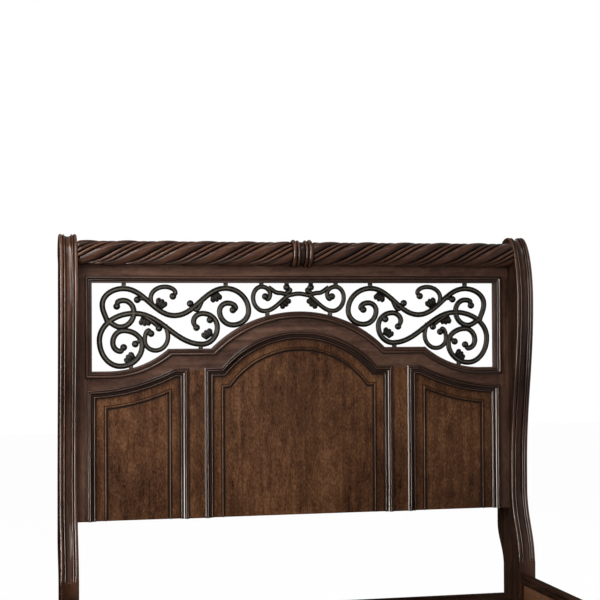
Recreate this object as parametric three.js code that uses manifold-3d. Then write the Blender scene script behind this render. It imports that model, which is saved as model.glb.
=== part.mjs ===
// Carved sleigh bed, queen size: S-curved posts, rope-twist rolls, a headboard with wrought-iron
// scrollwork over three framed panels, a low footboard, side rails, slats and centre legs.
// Millimetres, +X across the bed, +Y towards the headboard, +Z up, origin on the floor at mid-bed.
import * as THREE from 'three';
import { mergeVertices } from 'three/addons/utils/BufferGeometryUtils.js';
import Module from 'manifold-3d';

const wasm = await Module();
wasm.setup();

// ---------------------------------------------------------------- driving dimensions
const GAP = 0.3;                    // clearance between pieces that touch
const BED_WIDTH = 1706;             // over the posts
const BAY_LENGTH = 2060;            // headboard frame face to footboard frame inner face
const POST_WIDTH = 62;
const FRAME_THICKNESS = 30;         // stiles and rails of both ends

const REED_WIDTH = 19;              // outer moulding band on each side of a post face
const COVE_DEPTH = 8;               // how far the middle of a post face is hollowed
const QUIRK = { width: 2.5, depth: 4, fromEdge: 13 };  // groove between a reed and its bead

const HEAD = {                      // headboard post; depths are from the frame's mattress face
  foot: -96, footTop: 480, reedFoot: 492, neck: -27, neckLow: 740, neckHigh: 810,
  belly: -100, bellyDrop: 230, crest: 12, height: 1670,
  scrollReach: 84, scrollDrop: 62, scrollTurn: 34, scrollUnder: 42,
  backTop: 56, backDrop: 160, back: 128, backLow: 600, footBack: 66, footBackTop: 450,
};
const TAIL = {                      // footboard post; depths run outwards from its frame
  foot: -44, footTop: 290, reedFoot: 300, neck: -14, neckLow: 400, neckHigh: 430,
  belly: -46, bellyDrop: 148, crest: 18, height: 758,
  scrollReach: 92, scrollDrop: 52, scrollTurn: 30, scrollUnder: 38,
  backTop: 66, backDrop: 136, back: 100, backLow: 400, footBack: 76, footBackTop: 280,
};

const ROPE_RADIUS = 45;
const ROPE_GROOVE = 6;
const ROPE_STRANDS = 3;
const ROPE_LEAD = 420;              // length of one full twist
const HEAD_ROPE = { y: -27, drop: 67 };
const TAIL_ROPE = { y: 12, drop: 68 };
const COLLAR = { half: 38, radius: 51, ring: 12, round: 4, bead: 48, beadWidth: 5, waist: 44 };

const OPENING_SIZE = {              // the scrollwork opening of the headboard
  stile: 52, drop: 170, height: 309,
  cornerRun: 60, sweepRun: 209, shoulderRise: 77, archInset: 28, archRise: 130.5,
};
const OPENING_BAND = { width: 25, low: 5, beadFrom: 14, beadTo: 23, proud: 10 };
const MOULDING_LAP = 8;             // how far a moulding laps over the frame

const PANEL_BOTTOM = 671;
const PANEL_SIZE = {                // the framed panels of the headboard
  toPost: 34, sideWidth: 356, apart: 56, belowOpening: 68, cornerLift: 4,
  sweepRadius: 665, archInset: 59, archRise: 130.5,
};
const PANEL_BAND = {                // moulding round a panel, widths from its outer edge
  width: 30, proud: 12, base: 6, beadFrom: 3, beadTo: 13, innerFrom: 19, innerTo: 27, innerProud: 9,
};
const PANEL_SET_BACK = 8;           // panel face behind the frame face
const BEAD = { inset: 62, width: 12, height: 6 };      // bead round a panel's field
const TOP_RAIL_DROP = 80;
const BATTEN = { low: 690, high: 740, thickness: 20, short: 8 };
const LOWER_RAIL = { low: 262, high: 350, front: 18, thickness: 26 };

const FOOT_FRAME = {                // footboard frame
  low: 150, bottomRail: 92, panelDrop: 210, topRailDrop: 76, stile: 52, mullion: 72,
};

const RAIL = { setIn: 17, thickness: 30, low: 190, high: 403 };
const RAIL_CAP = { overOutside: 13, overInside: 11, height: 25, round: 6 };
const CLEAT = { width: 26, height: 28, top: 242, short: 55 };
const HOOK = { width: 18, height: 120, thickness: 3, tongue: 14, tongueHeight: 26, lift: 60 };
const SLAT = { count: 5, width: 92, thickness: 20, inset: 170, short: 3.6 };
const LEG = { side: 45, clear: 18, slats: [1, 3] };
const GLIDE = { radius: 18, pad: 8, stem: 5, stemLength: 44, bore: 5.3, boreDepth: 40 };

const BAR_RADIUS = 10;              // wrought-iron bar
const THIN_BAR = 8.5;
const BALL_RADIUS = 12.5;
const LUG = { width: 16, depth: 14 };
const SCROLL_Y = 14;                // plane of the ironwork behind the frame face
const SCROLL_OVER_ARCH = 10;        // least space between the arch and a bar
const LEAF = { length: 27, width: 42, thickness: 8 };

// ---------------------------------------------------------------- derived places
const POST_OUTER = BED_WIDTH / 2;
const POST_INNER = POST_OUTER - POST_WIDTH;
const FRAME_END = POST_INNER - GAP;
const FOOT_INNER = -BAY_LENGTH;                        // footboard frame, mattress side
const FOOT_FACE = FOOT_INNER - FRAME_THICKNESS;        // footboard frame, outer side
const HEAD_ROPE_Z = HEAD.height - HEAD_ROPE.drop;
const TAIL_ROPE_Z = TAIL.height - TAIL_ROPE.drop;
const HEAD_REACH = Math.max(HEAD.scrollReach, HEAD.back);
const TAIL_REACH = Math.max(TAIL.scrollReach, TAIL.back);
const BED_CENTRE = (HEAD_REACH + FOOT_INNER - TAIL_REACH) / 2;
const SLAT_TOP = CLEAT.top + GAP + SLAT.thickness;

const FINISH = {
  rail: new THREE.Color(0.20, 0.105, 0.062),
  post: new THREE.Color(0.16, 0.083, 0.052),
  panel: new THREE.Color(0.26, 0.140, 0.078),
  iron: new THREE.Color(0.085, 0.078, 0.062),
  steel: new THREE.Color(0.52, 0.52, 0.53),
  pine: new THREE.Color(0.66, 0.52, 0.34),
  glide: new THREE.Color(0.06, 0.06, 0.06),
};

// ---------------------------------------------------------------- solids and outlines
const bed = new THREE.Group();
const model = new THREE.Group();
model.position.y = -BED_CENTRE;
bed.add(model);

/** Adds one named piece to the bed. */
function piece(name, geometry, finish) {
  const metal = finish === 'iron' || finish === 'steel';
  const material = new THREE.MeshStandardMaterial({
    color: FINISH[finish], roughness: metal ? 0.45 : 0.35, metalness: metal ? 0.9 : 0,
  });
  const mesh = new THREE.Mesh(geometry, material);
  mesh.name = name;
  model.add(mesh);
  return mesh;
}

/** A closed geometry as a solid that can be joined and cut. */
function solid(geometry) {
  const bare = geometry.clone();
  bare.deleteAttribute('normal');
  bare.deleteAttribute('uv');
  const merged = mergeVertices(bare, 1e-4);
  return new wasm.Manifold(new wasm.Mesh({
    numProp: 3,
    vertProperties: new Float32Array(merged.attributes.position.array),
    triVerts: new Uint32Array(merged.index.array),
  }));
}

/** A solid as a geometry again. */
function geometryOf(body) {
  const mesh = body.getMesh();
  const geometry = new THREE.BufferGeometry();
  geometry.setAttribute('position', new THREE.BufferAttribute(mesh.vertProperties, 3));
  geometry.setIndex(new THREE.BufferAttribute(mesh.triVerts, 1));
  return geometry;
}

const join = (bodies) => bodies.reduce((whole, body) => whole.add(body));

function boxSolid(x0, x1, y0, y1, z0, z1) {
  const geometry = new THREE.BoxGeometry(x1 - x0, y1 - y0, z1 - z0);
  geometry.translate((x0 + x1) / 2, (y0 + y1) / 2, (z0 + z1) / 2);
  return solid(geometry);
}

const box = (...corners) => geometryOf(boxSolid(...corners));

/** Extrudes an outline drawn in X and Z from y0 back to y1. */
function slab(shape, y0, y1) {
  const geometry = new THREE.ExtrudeGeometry(shape, {
    depth: y1 - y0, bevelEnabled: false, curveSegments: 9,
  });
  const basis = new THREE.Matrix4().makeBasis(
    new THREE.Vector3(1, 0, 0), new THREE.Vector3(0, 0, 1), new THREE.Vector3(0, -1, 0));
  geometry.applyMatrix4(basis);
  geometry.translate(0, y1, 0);
  return solid(geometry);
}

/** Extrudes an outline drawn in Y and Z from x0 across to x1. */
function plank(shape, x0, x1) {
  const geometry = new THREE.ExtrudeGeometry(shape, {
    depth: x1 - x0, bevelEnabled: false, curveSegments: 6,
  });
  const basis = new THREE.Matrix4().makeBasis(
    new THREE.Vector3(0, 1, 0), new THREE.Vector3(0, 0, 1), new THREE.Vector3(1, 0, 0));
  geometry.applyMatrix4(basis);
  geometry.translate(x0, 0, 0);
  return solid(geometry);
}

/** Turns a profile of [radius, along] points about the X axis. */
function turnedAlongX(points, segments) {
  const profile = points.map(([radius, along]) => new THREE.Vector2(radius, along));
  const geometry = new THREE.LatheGeometry(profile, segments);
  geometry.rotateZ(-Math.PI / 2);
  return geometry;
}

/**
 * A smooth line through turning points [a, b, way]. At 'v' it runs plumb, at 'h' level, and with
 * no way it is a free end. Neighbours of unlike way are joined by a quarter of an ellipse.
 */
function turningLine(points) {
  const QUARTER = 0.5523;
  const EASE = 0.4;
  const line = new THREE.CurvePath();
  for (let i = 0; i + 1 < points.length; i += 1) {
    const [a0, b0, way0] = points[i];
    const [a1, b1, way1] = points[i + 1];
    const share = way0 && way1 && way0 !== way1 ? QUARTER : EASE;
    const handle = (way, from, to) => {
      if (way === 'h') return [from[0] + (to[0] - from[0]) * share, from[1]];
      if (way === 'v') return [from[0], from[1] + (to[1] - from[1]) * share];
      return [from[0] + (to[0] - from[0]) / 3, from[1] + (to[1] - from[1]) / 3];
    };
    const first = handle(way0, [a0, b0], [a1, b1]);
    const last = handle(way1, [a1, b1], [a0, b0]);
    line.add(new THREE.CubicBezierCurve(new THREE.Vector2(a0, b0), new THREE.Vector2(...first),
      new THREE.Vector2(...last), new THREE.Vector2(a1, b1)));
  }
  return line;
}

/** The points of a turning line, one line at a time, with `steps` to each curved stretch. */
function linePoints(line, steps) {
  const points = [line.curves[0].v0];
  for (const curve of line.curves) {
    const straight = curve.v0.x === curve.v3.x || curve.v0.y === curve.v3.y;
    const count = straight ? 1 : steps;
    for (let i = 1; i <= count; i += 1) points.push(curve.getPoint(i / count));
  }
  return points;
}

/** The line moved sideways: positive is to the right of its direction. */
function offsetLine(points, distance) {
  return points.map((point, i) => {
    const before = points[Math.max(i - 1, 0)];
    const after = points[Math.min(i + 1, points.length - 1)];
    const way = after.clone().sub(before).normalize();
    return new THREE.Vector2(point.x + way.y * distance, point.y - way.x * distance);
  });
}

// ---------------------------------------------------------------- posts
/** The moulded face of a post from the floor, over the crest, to the tip of the scroll. */
function postFace(p) {
  return turningLine([
    [p.foot, 0, 'v'], [p.foot, p.footTop, 'v'], [p.neck, p.neckLow, 'v'],
    [p.neck, p.neckHigh, 'v'], [p.belly, p.height - p.bellyDrop, 'v'], [p.crest, p.height, 'h'],
    [p.scrollReach, p.height - p.scrollDrop, 'v'],
  ]);
}

/** The rest of a post's outline, from the scroll tip down its back to the floor. */
function postBack(p) {
  return turningLine([
    [p.scrollReach, p.height - p.scrollDrop, 'v'],
    [p.scrollReach - p.scrollTurn, p.height - p.scrollDrop - p.scrollUnder],
    [p.backTop, p.height - p.backDrop, 'v'], [p.back, p.backLow, 'v'],
    [p.footBack, p.footBackTop, 'v'], [p.footBack, 0, 'v'],
  ]);
}

/** A strip that follows a post's face, to hollow a cove or a quirk out of it. */
function faceCutter(p, depth, x0, x1, flip) {
  const OVERSHOOT = 6;
  const face = linePoints(postFace(p), 6).filter((point) => point.y > p.footTop + 1);
  const start = new THREE.Vector2(face[0].x, p.reedFoot);
  const line = [start, ...face.filter((point) => point.y > p.reedFoot || point.x > p.crest)];
  const inside = offsetLine(line, depth);
  const outside = offsetLine(line, -OVERSHOOT).reverse();
  const shape = new THREE.Shape([...inside, ...outside].map(
    (point) => new THREE.Vector2(point.x * flip, point.y)));
  return plank(shape, x0, x1);
}

/** A whole post: the S-shaped plank with its hollowed face. flip -1 curls towards -Y. */
function postSolid(p, x0, x1, flip) {
  const outline = [...linePoints(postFace(p), 6), ...linePoints(postBack(p), 4).slice(1)];
  const shape = new THREE.Shape(outline.map(
    (point) => new THREE.Vector2(point.x * flip, point.y)));
  const quirk = (from) => faceCutter(p, QUIRK.depth, from, from + QUIRK.width, flip);
  return plank(shape, x0, x1)
    .subtract(faceCutter(p, COVE_DEPTH, x0 + REED_WIDTH, x1 - REED_WIDTH, flip))
    .subtract(quirk(x0 + QUIRK.fromEdge))
    .subtract(quirk(x1 - QUIRK.fromEdge - QUIRK.width));
}

// ---------------------------------------------------------------- bed hooks
const RAIL_OUTER = POST_OUTER - RAIL.setIn;
const RAIL_INNER = RAIL_OUTER - RAIL.thickness;
const RAIL_MID = RAIL_OUTER - RAIL.thickness / 2;
const HOOK_MID = (RAIL.low + RAIL.high) / 2;
const HEAD_JOINT = HEAD.foot - GAP;                    // where the rails meet the head posts
const FOOT_JOINT = FOOT_INNER - TAIL.foot + GAP;       // where the rails meet the foot posts

/** Steel hook plate on a rail's end, with two tongues that drop into the post. */
function hookPlate(side, yFace, towards, clearance) {
  const half = HOOK.width / 2 + clearance;
  const x = side * RAIL_MID;
  const span = (from, to) => [Math.min(from, to), Math.max(from, to)];
  const tongue = (z) => boxSolid(x - half, x + half,
    ...span(yFace - towards, yFace + towards * (HOOK.tongue + clearance)),
    z - HOOK.tongueHeight / 2 - clearance, z + HOOK.tongueHeight / 2 + clearance);
  const tongues = [HOOK_MID - HOOK.lift / 2, HOOK_MID + HOOK.lift / 2].map(tongue);
  if (clearance) return join(tongues);
  const plate = boxSolid(x - half, x + half, ...span(yFace - towards * HOOK.thickness, yFace),
    HOOK_MID - HOOK.height / 2, HOOK_MID + HOOK.height / 2);
  return join([plate, ...tongues]);
}

for (const [label, side] of [['left', -1], ['right', 1]]) {
  const x0 = Math.min(side * POST_INNER, side * POST_OUTER);
  const headPost = postSolid(HEAD, x0, x0 + POST_WIDTH, 1)
    .subtract(hookPlate(side, HEAD_JOINT, 1, GAP));
  piece(`headboard_post_${label}`, geometryOf(headPost), 'post');
  const footPost = postSolid(TAIL, x0, x0 + POST_WIDTH, -1)
    .translate([0, FOOT_INNER, 0])
    .subtract(hookPlate(side, FOOT_JOINT, -1, GAP));
  piece(`footboard_post_${label}`, geometryOf(footPost), 'post');
  piece(`head_hook_plate_${label}`, geometryOf(hookPlate(side, HEAD_JOINT, 1, 0)), 'steel');
  piece(`foot_hook_plate_${label}`, geometryOf(hookPlate(side, FOOT_JOINT, -1, 0)), 'steel');
}

// ---------------------------------------------------------------- rope rolls
/** Half a roll carved as a rope: its strands climb to the right on the side facing the foot. */
function ropeRoll(x0, x1) {
  const SIDES_PER_STRAND = 4;
  const STEPS_PER_TURN = 11;
  const length = x1 - x0;
  const sides = ROPE_STRANDS * SIDES_PER_STRAND;
  const steps = Math.ceil(STEPS_PER_TURN * length / ROPE_LEAD);
  const geometry = new THREE.CylinderGeometry(ROPE_RADIUS, ROPE_RADIUS, length, sides, steps);
  geometry.rotateZ(Math.PI / 2);
  geometry.translate((x0 + x1) / 2, 0, 0);
  const place = geometry.attributes.position;
  for (let i = 0; i < place.count; i += 1) {
    const radius = Math.hypot(place.getY(i), place.getZ(i));
    if (radius < 1) continue;
    const angle = Math.atan2(place.getZ(i), place.getY(i));
    const swell = Math.abs(Math.sin(angle * ROPE_STRANDS / 2));
    const twisted = angle - place.getX(i) / ROPE_LEAD * 2 * Math.PI;
    const carved = ROPE_RADIUS - ROPE_GROOVE * (1 - swell);
    place.setY(i, Math.cos(twisted) * carved);
    place.setZ(i, Math.sin(twisted) * carved);
  }
  return geometry;
}

/** The turned ring that covers the middle of a roll. */
function rollCollar() {
  const SEGMENTS = 16;
  const ringEnd = COLLAR.half - COLLAR.ring;
  const beadEnd = ringEnd - COLLAR.round - COLLAR.beadWidth;
  const half = [
    [ROPE_RADIUS, COLLAR.half], [COLLAR.radius, COLLAR.half - COLLAR.round],
    [COLLAR.radius, ringEnd], [COLLAR.waist, ringEnd - COLLAR.round],
    [COLLAR.bead, beadEnd], [COLLAR.waist, beadEnd - COLLAR.round],
  ];
  const profile = [
    [0, -COLLAR.half], ...half.map(([radius, along]) => [radius, -along]),
    ...half.slice().reverse(), [0, COLLAR.half],
  ];
  return turnedAlongX(profile, SEGMENTS);
}

for (const [end, rope] of [
  ['headboard', { y: HEAD_ROPE.y, z: HEAD_ROPE_Z }],
  ['footboard', { y: FOOT_INNER - TAIL_ROPE.y, z: TAIL_ROPE_Z }],
]) {
  const left = piece(`${end}_rope_roll_left`, ropeRoll(-FRAME_END, -COLLAR.half - GAP), 'post');
  const right = piece(`${end}_rope_roll_right`, ropeRoll(COLLAR.half + GAP, FRAME_END), 'post');
  const collar = piece(`${end}_roll_collar`, rollCollar(), 'post');
  for (const mesh of [left, right, collar]) mesh.position.set(0, rope.y, rope.z);
}

/** The trough in a top rail that a roll lies in. */
function rollTrough(rope) {
  const SEGMENTS = 32;
  const radius = ROPE_RADIUS + GAP;
  const collar = COLLAR.radius + GAP;
  const reach = BED_WIDTH;
  const profile = [[0, -reach], [radius, -reach], [radius, -COLLAR.half - GAP],
    [collar, -COLLAR.half - GAP], [collar, COLLAR.half + GAP], [radius, COLLAR.half + GAP],
    [radius, reach], [0, reach]];
  return solid(turnedAlongX(profile, SEGMENTS)).translate([0, rope.y, rope.z]);
}

// ---------------------------------------------------------------- headboard outlines
/** Radius of an arc of this half span and rise. */
const arcRadius = (span, rise) => (span ** 2 + rise ** 2) / (2 * rise);

const openingTop = HEAD.height - OPENING_SIZE.drop;
const openingLow = openingTop - OPENING_SIZE.height;
const openingHalf = POST_INNER - OPENING_SIZE.stile;
const sideInner = POST_INNER - PANEL_SIZE.toPost - PANEL_SIZE.sideWidth;
const midHalf = sideInner - PANEL_SIZE.apart;
const openingSpan = midHalf - OPENING_SIZE.archInset;
const OPENING = {
  half: openingHalf, top: openingTop, low: openingLow,
  sweepStart: openingHalf - OPENING_SIZE.cornerRun,
  sweepRadius: arcRadius(OPENING_SIZE.sweepRun, OPENING_SIZE.shoulderRise),
  shoulder: openingLow + OPENING_SIZE.shoulderRise,
  apex: openingLow + OPENING_SIZE.shoulderRise + OPENING_SIZE.archRise,
  archRadius: arcRadius(openingSpan, OPENING_SIZE.archRise),
};
const panelShoulder = OPENING.shoulder - PANEL_SIZE.belowOpening;
const SIDE_PANEL = {
  inner: sideInner, outer: POST_INNER - PANEL_SIZE.toPost, shoulder: panelShoulder,
  low: OPENING.low - PANEL_SIZE.belowOpening + PANEL_SIZE.cornerLift,
  sweepRadius: PANEL_SIZE.sweepRadius,
};
const MID_PANEL = {
  half: midHalf, shoulder: panelShoulder, apex: panelShoulder + PANEL_SIZE.archRise,
  archRadius: arcRadius(midHalf - PANEL_SIZE.archInset, PANEL_SIZE.archRise),
};

/** The scrollwork opening grown by `grow` on every side. */
function openingShape(grow) {
  const o = OPENING;
  const half = o.half + grow;
  const low = o.low - grow;
  const shoulder = o.shoulder - grow;
  const sweepCentre = o.low + o.sweepRadius;
  const sweep = o.sweepRadius + grow;
  const sweepX = o.sweepStart - Math.sqrt(sweep ** 2 - (sweepCentre - shoulder) ** 2);
  const sweepAngle = Math.atan2(shoulder - sweepCentre, sweepX - o.sweepStart);
  const archCentre = o.apex - o.archRadius;
  const arch = o.archRadius - grow;
  const archX = Math.sqrt(arch ** 2 - (shoulder - archCentre) ** 2);
  const archAngle = Math.atan2(shoulder - archCentre, archX);
  const shape = new THREE.Shape();
  shape.moveTo(-half, o.top + grow);
  shape.lineTo(-half, low);
  shape.lineTo(-o.sweepStart, low);
  shape.absarc(-o.sweepStart, sweepCentre, sweep, -Math.PI / 2, -Math.PI - sweepAngle, false);
  shape.lineTo(-archX, shoulder);
  shape.absarc(0, archCentre, arch, Math.PI - archAngle, archAngle, true);
  shape.lineTo(sweepX, shoulder);
  shape.absarc(o.sweepStart, sweepCentre, sweep, sweepAngle, -Math.PI / 2, false);
  shape.lineTo(half, low);
  shape.lineTo(half, o.top + grow);
  return shape;
}

/** A side panel shrunk by `inset`, its foot lowered by `drop`. side is -1 or 1. */
function sidePanelShape(side, inset, drop = 0) {
  const p = SIDE_PANEL;
  const inner = p.inner + inset;
  const outer = p.outer - inset;
  const bottom = PANEL_BOTTOM - drop;
  const centre = p.low + p.sweepRadius;
  const radius = p.sweepRadius + inset;
  const shoulder = p.shoulder - inset;
  const shoulderX = p.outer - Math.sqrt(radius ** 2 - (centre - shoulder) ** 2);
  const meetX = Math.max(shoulderX, inner);
  const meetZ = centre - Math.sqrt(radius ** 2 - (p.outer - meetX) ** 2);
  const from = Math.atan2(meetZ - centre, meetX - p.outer);
  const to = -Math.acos((outer - p.outer) / radius);
  const shape = new THREE.Shape();
  shape.moveTo(side * outer, bottom);
  shape.lineTo(side * inner, bottom);
  if (shoulderX > inner) shape.lineTo(side * inner, shoulder);
  if (side > 0) shape.absarc(p.outer, centre, radius, from, to, false);
  else shape.absarc(-p.outer, centre, radius, -Math.PI - from, -Math.PI - to, true);
  return shape;
}

/** The middle panel shrunk by `inset`, its foot lowered by `drop`. */
function midPanelShape(inset, drop = 0) {
  const p = MID_PANEL;
  const half = p.half - inset;
  const shoulder = p.shoulder - inset;
  const centre = p.apex - p.archRadius;
  const radius = p.archRadius - inset;
  const archX = Math.sqrt(radius ** 2 - (shoulder - centre) ** 2);
  const angle = Math.atan2(shoulder - centre, archX);
  const shape = new THREE.Shape();
  shape.moveTo(half, PANEL_BOTTOM - drop);
  shape.lineTo(half, shoulder);
  shape.absarc(0, centre, radius, angle, Math.PI - angle, false);
  shape.lineTo(-half, shoulder);
  shape.lineTo(-half, PANEL_BOTTOM - drop);
  return shape;
}

const FOOT_PANEL_TOP = TAIL.height - FOOT_FRAME.panelDrop;
const FOOT_RAIL_TOP = FOOT_FRAME.low + FOOT_FRAME.bottomRail;

/** A plain footboard panel between x0 and x1, shrunk by `inset`. */
function footPanelShape(x0, x1, inset) {
  const low = FOOT_RAIL_TOP - MOULDING_LAP + inset;
  const high = FOOT_PANEL_TOP + MOULDING_LAP - inset;
  return new THREE.Shape([
    new THREE.Vector2(x0 + inset, low), new THREE.Vector2(x1 - inset, low),
    new THREE.Vector2(x1 - inset, high), new THREE.Vector2(x0 + inset, high),
  ]);
}

// ---------------------------------------------------------------- framed panels
const BEYOND = 40;                  // cutters run this far past what they cut

/** A band of a moulding between two insets of an outline, from y0 to y1. */
function band(outline, inset0, inset1, y0, y1) {
  return slab(outline(inset0, 0), y0, y1).subtract(slab(outline(inset1, BEYOND), y0 - 1, y1 + 1));
}

/** The stepped moulding that laps the frame and runs down to the panel. */
function panelMoulding(outline, face) {
  const m = PANEL_BAND;
  const inBase = face - m.base / 2;
  return join([
    band(outline, 0, m.width, face - m.base, face - GAP),
    band(outline, m.beadFrom, m.beadTo, face - m.proud, inBase),
    band(outline, m.innerFrom, m.innerTo, face - m.innerProud, inBase),
    band(outline, MOULDING_LAP + GAP, m.width, inBase, face + PANEL_SET_BACK - GAP),
  ]);
}

/** The panel board, with the bead round its field. */
function panelBoard(outline, face, thickness) {
  const front = face + PANEL_SET_BACK;
  const board = slab(outline(MOULDING_LAP + GAP, 0), front, front + thickness);
  return board.add(band(outline, BEAD.inset, BEAD.inset + BEAD.width,
    front - BEAD.height, front + BEAD.height / 2));
}

const headPanels = [
  ['left', (inset, drop) => sidePanelShape(-1, inset, drop)],
  ['centre', midPanelShape],
  ['right', (inset, drop) => sidePanelShape(1, inset, drop)],
];
const HEAD_BOARD = FRAME_THICKNESS - PANEL_SET_BACK;
for (const [label, outline] of headPanels) {
  piece(`headboard_panel_${label}`, geometryOf(panelBoard(outline, 0, HEAD_BOARD)), 'panel');
  piece(`headboard_panel_moulding_${label}`, geometryOf(panelMoulding(outline, 0)), 'rail');
}

// ---------------------------------------------------------------- headboard frame
const MULLION_INNER = MID_PANEL.half - MOULDING_LAP;
const MULLION_OUTER = SIDE_PANEL.inner + MOULDING_LAP;
const MULLION_TOP = MID_PANEL.shoulder - MOULDING_LAP;
const RAIL_END = SIDE_PANEL.outer - MOULDING_LAP;
const frameCut = OPENING_BAND.width - MOULDING_LAP;
const openingCut = slab(openingShape(frameCut), -BEYOND, FRAME_THICKNESS + BEYOND);

const stileShape = (side) => new THREE.Shape([
  [RAIL_END, PANEL_BOTTOM], [FRAME_END, PANEL_BOTTOM], [FRAME_END, OPENING.top + frameCut - GAP],
  [RAIL_END, OPENING.top + frameCut - GAP],
].map(([x, z]) => new THREE.Vector2(side * x, z)));

const panelCuts = headPanels.map(([, outline]) => slab(outline(MOULDING_LAP, BEYOND), -1,
  FRAME_THICKNESS + 1));
const archBlank = slab(new THREE.Shape([
  [-RAIL_END + GAP, SIDE_PANEL.low - BEYOND], [-RAIL_END + GAP, OPENING.top],
  [RAIL_END - GAP, OPENING.top], [RAIL_END - GAP, SIDE_PANEL.low - BEYOND],
].map(([x, z]) => new THREE.Vector2(x, z))), 0, FRAME_THICKNESS);
const mullionCut = (side) => boxSolid(Math.min(side * MULLION_INNER, side * MULLION_OUTER) - GAP,
  Math.max(side * MULLION_INNER, side * MULLION_OUTER) + GAP, -1, FRAME_THICKNESS + 1,
  PANEL_BOTTOM, MULLION_TOP + GAP);
const archRail = [...panelCuts, mullionCut(-1), mullionCut(1), openingCut].reduce(
  (body, cutter) => body.subtract(cutter), archBlank);
piece('headboard_arch_rail', geometryOf(archRail), 'rail');

for (const [label, side] of [['left', -1], ['right', 1]]) {
  const stile = slab(stileShape(side), 0, FRAME_THICKNESS).subtract(openingCut);
  piece(`headboard_stile_${label}`, geometryOf(stile), 'rail');
  const x0 = Math.min(side * MULLION_INNER, side * MULLION_OUTER);
  const x1 = Math.max(side * MULLION_INNER, side * MULLION_OUTER);
  piece(`headboard_mullion_${label}`,
    box(x0, x1, 0, FRAME_THICKNESS, PANEL_BOTTOM, MULLION_TOP), 'panel');
}

const topRail = boxSolid(-FRAME_END, FRAME_END, 0, FRAME_THICKNESS, OPENING.top + frameCut,
  HEAD.height - TOP_RAIL_DROP).subtract(rollTrough({ y: HEAD_ROPE.y, z: HEAD_ROPE_Z }));
piece('headboard_top_rail', geometryOf(topRail), 'rail');

const openingBand = (grow0, grow1, y0, y1) => slab(openingShape(grow1), y0, y1)
  .subtract(slab(openingShape(grow0), y0 - 1, y1 + 1));
const inLowBand = -OPENING_BAND.low / 2;
const openingMoulding = join([
  openingBand(0, OPENING_BAND.width, -OPENING_BAND.low, -GAP),
  openingBand(OPENING_BAND.beadFrom, OPENING_BAND.beadTo, -OPENING_BAND.proud, inLowBand),
  openingBand(0, frameCut - GAP, inLowBand, FRAME_THICKNESS),
]);
piece('headboard_opening_moulding', geometryOf(openingMoulding), 'rail');

piece('headboard_rear_batten', box(-FRAME_END + BATTEN.short, FRAME_END - BATTEN.short,
  FRAME_THICKNESS + GAP, FRAME_THICKNESS + GAP + BATTEN.thickness, BATTEN.low, BATTEN.high), 'rail');
piece('headboard_lower_rail', box(-FRAME_END, FRAME_END, LOWER_RAIL.front,
  LOWER_RAIL.front + LOWER_RAIL.thickness, LOWER_RAIL.low, LOWER_RAIL.high), 'rail');

// ---------------------------------------------------------------- wrought-iron scrollwork
/** The centre line of a bar: every stretch between two turning points gets as many steps. */
class BarLine extends THREE.Curve {
  constructor(stretches) {
    super();
    this.stretches = stretches;
  }

  getPoint(t) {
    const along = t * this.stretches.length;
    const index = Math.min(Math.floor(along), this.stretches.length - 1);
    const point = this.stretches[index].getPoint(along - index);
    return new THREE.Vector3(point.x, SCROLL_Y, point.y);
  }

  getUtoTmapping(u) {
    return u;
  }
}

/** A round bar bent along a turning line in the plane of the ironwork. */
function bar(points, radius) {
  const SIDES = 5;
  const STEPS = 3;
  const stretches = turningLine(points.map(place)).curves;
  const section = new THREE.Shape(Array.from({ length: SIDES }, (_, i) => {
    const angle = (i + 0.5) / SIDES * 2 * Math.PI;
    return new THREE.Vector2(Math.cos(angle) * radius, Math.sin(angle) * radius);
  }));
  return solid(new THREE.ExtrudeGeometry(section, {
    steps: STEPS * stretches.length, bevelEnabled: false, extrudePath: new BarLine(stretches),
  }));
}

function ball(point) {
  const [x, z] = place(point);
  const geometry = new THREE.IcosahedronGeometry(BALL_RADIUS, 0);
  geometry.translate(x, SCROLL_Y, z);
  return solid(geometry);
}

/** A square lug from the ironwork to the frame of the opening. */
function lug(x, z0, z1) {
  return boxSolid(x - LUG.width / 2, x + LUG.width / 2, SCROLL_Y - LUG.depth / 2,
    SCROLL_Y + LUG.depth / 2, z0, z1);
}

/** A fan of three lobes that grows out of the bar at `point` along `angle`. */
function leaf(point, angle) {
  const [x, z] = place(point);
  const outline = [[-4, 0.36], [LEAF.length * 0.7, 0.5], [LEAF.length * 0.72, 0.2]];
  const lower = outline.map(([along, half]) => new THREE.Vector2(along, -half * LEAF.width));
  const upper = outline.map(([along, half]) => new THREE.Vector2(along, half * LEAF.width));
  const shape = new THREE.Shape([...lower, new THREE.Vector2(LEAF.length, 0), ...upper.reverse()]);
  const geometry = new THREE.ExtrudeGeometry(shape, { depth: LEAF.thickness, bevelEnabled: false });
  geometry.translate(0, 0, -LEAF.thickness / 2);
  geometry.rotateX(Math.PI / 2);
  geometry.rotateY(-angle);
  geometry.translate(x, SCROLL_Y, z);
  return solid(geometry);
}

const archHeight = (x) => OPENING.apex - OPENING.archRadius
  + Math.sqrt(Math.max(OPENING.archRadius ** 2 - x ** 2, 0));
const sweepHeight = (x) => OPENING.low + OPENING.sweepRadius
  - Math.sqrt(OPENING.sweepRadius ** 2 - Math.max(OPENING.sweepStart - x, 0) ** 2);

/**
 * A point of the ironwork, given in thousandths of the opening's half width and of its height.
 * Over the arch a bar's centre keeps its radius and SCROLL_OVER_ARCH above the frame's edge.
 */
function place([across, up, ...way]) {
  const x = across / 1000 * OPENING.half;
  const z = OPENING.low + up / 1000 * OPENING_SIZE.height;
  return [x, Math.max(z, archHeight(x) + BAR_RADIUS + SCROLL_OVER_ARCH), ...way];
}

/** A lug from the bar at `point` up to the top of the opening. */
function topLug(point) {
  const [x, z] = place(point);
  return lug(x, z, OPENING.top - GAP);
}

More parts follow.
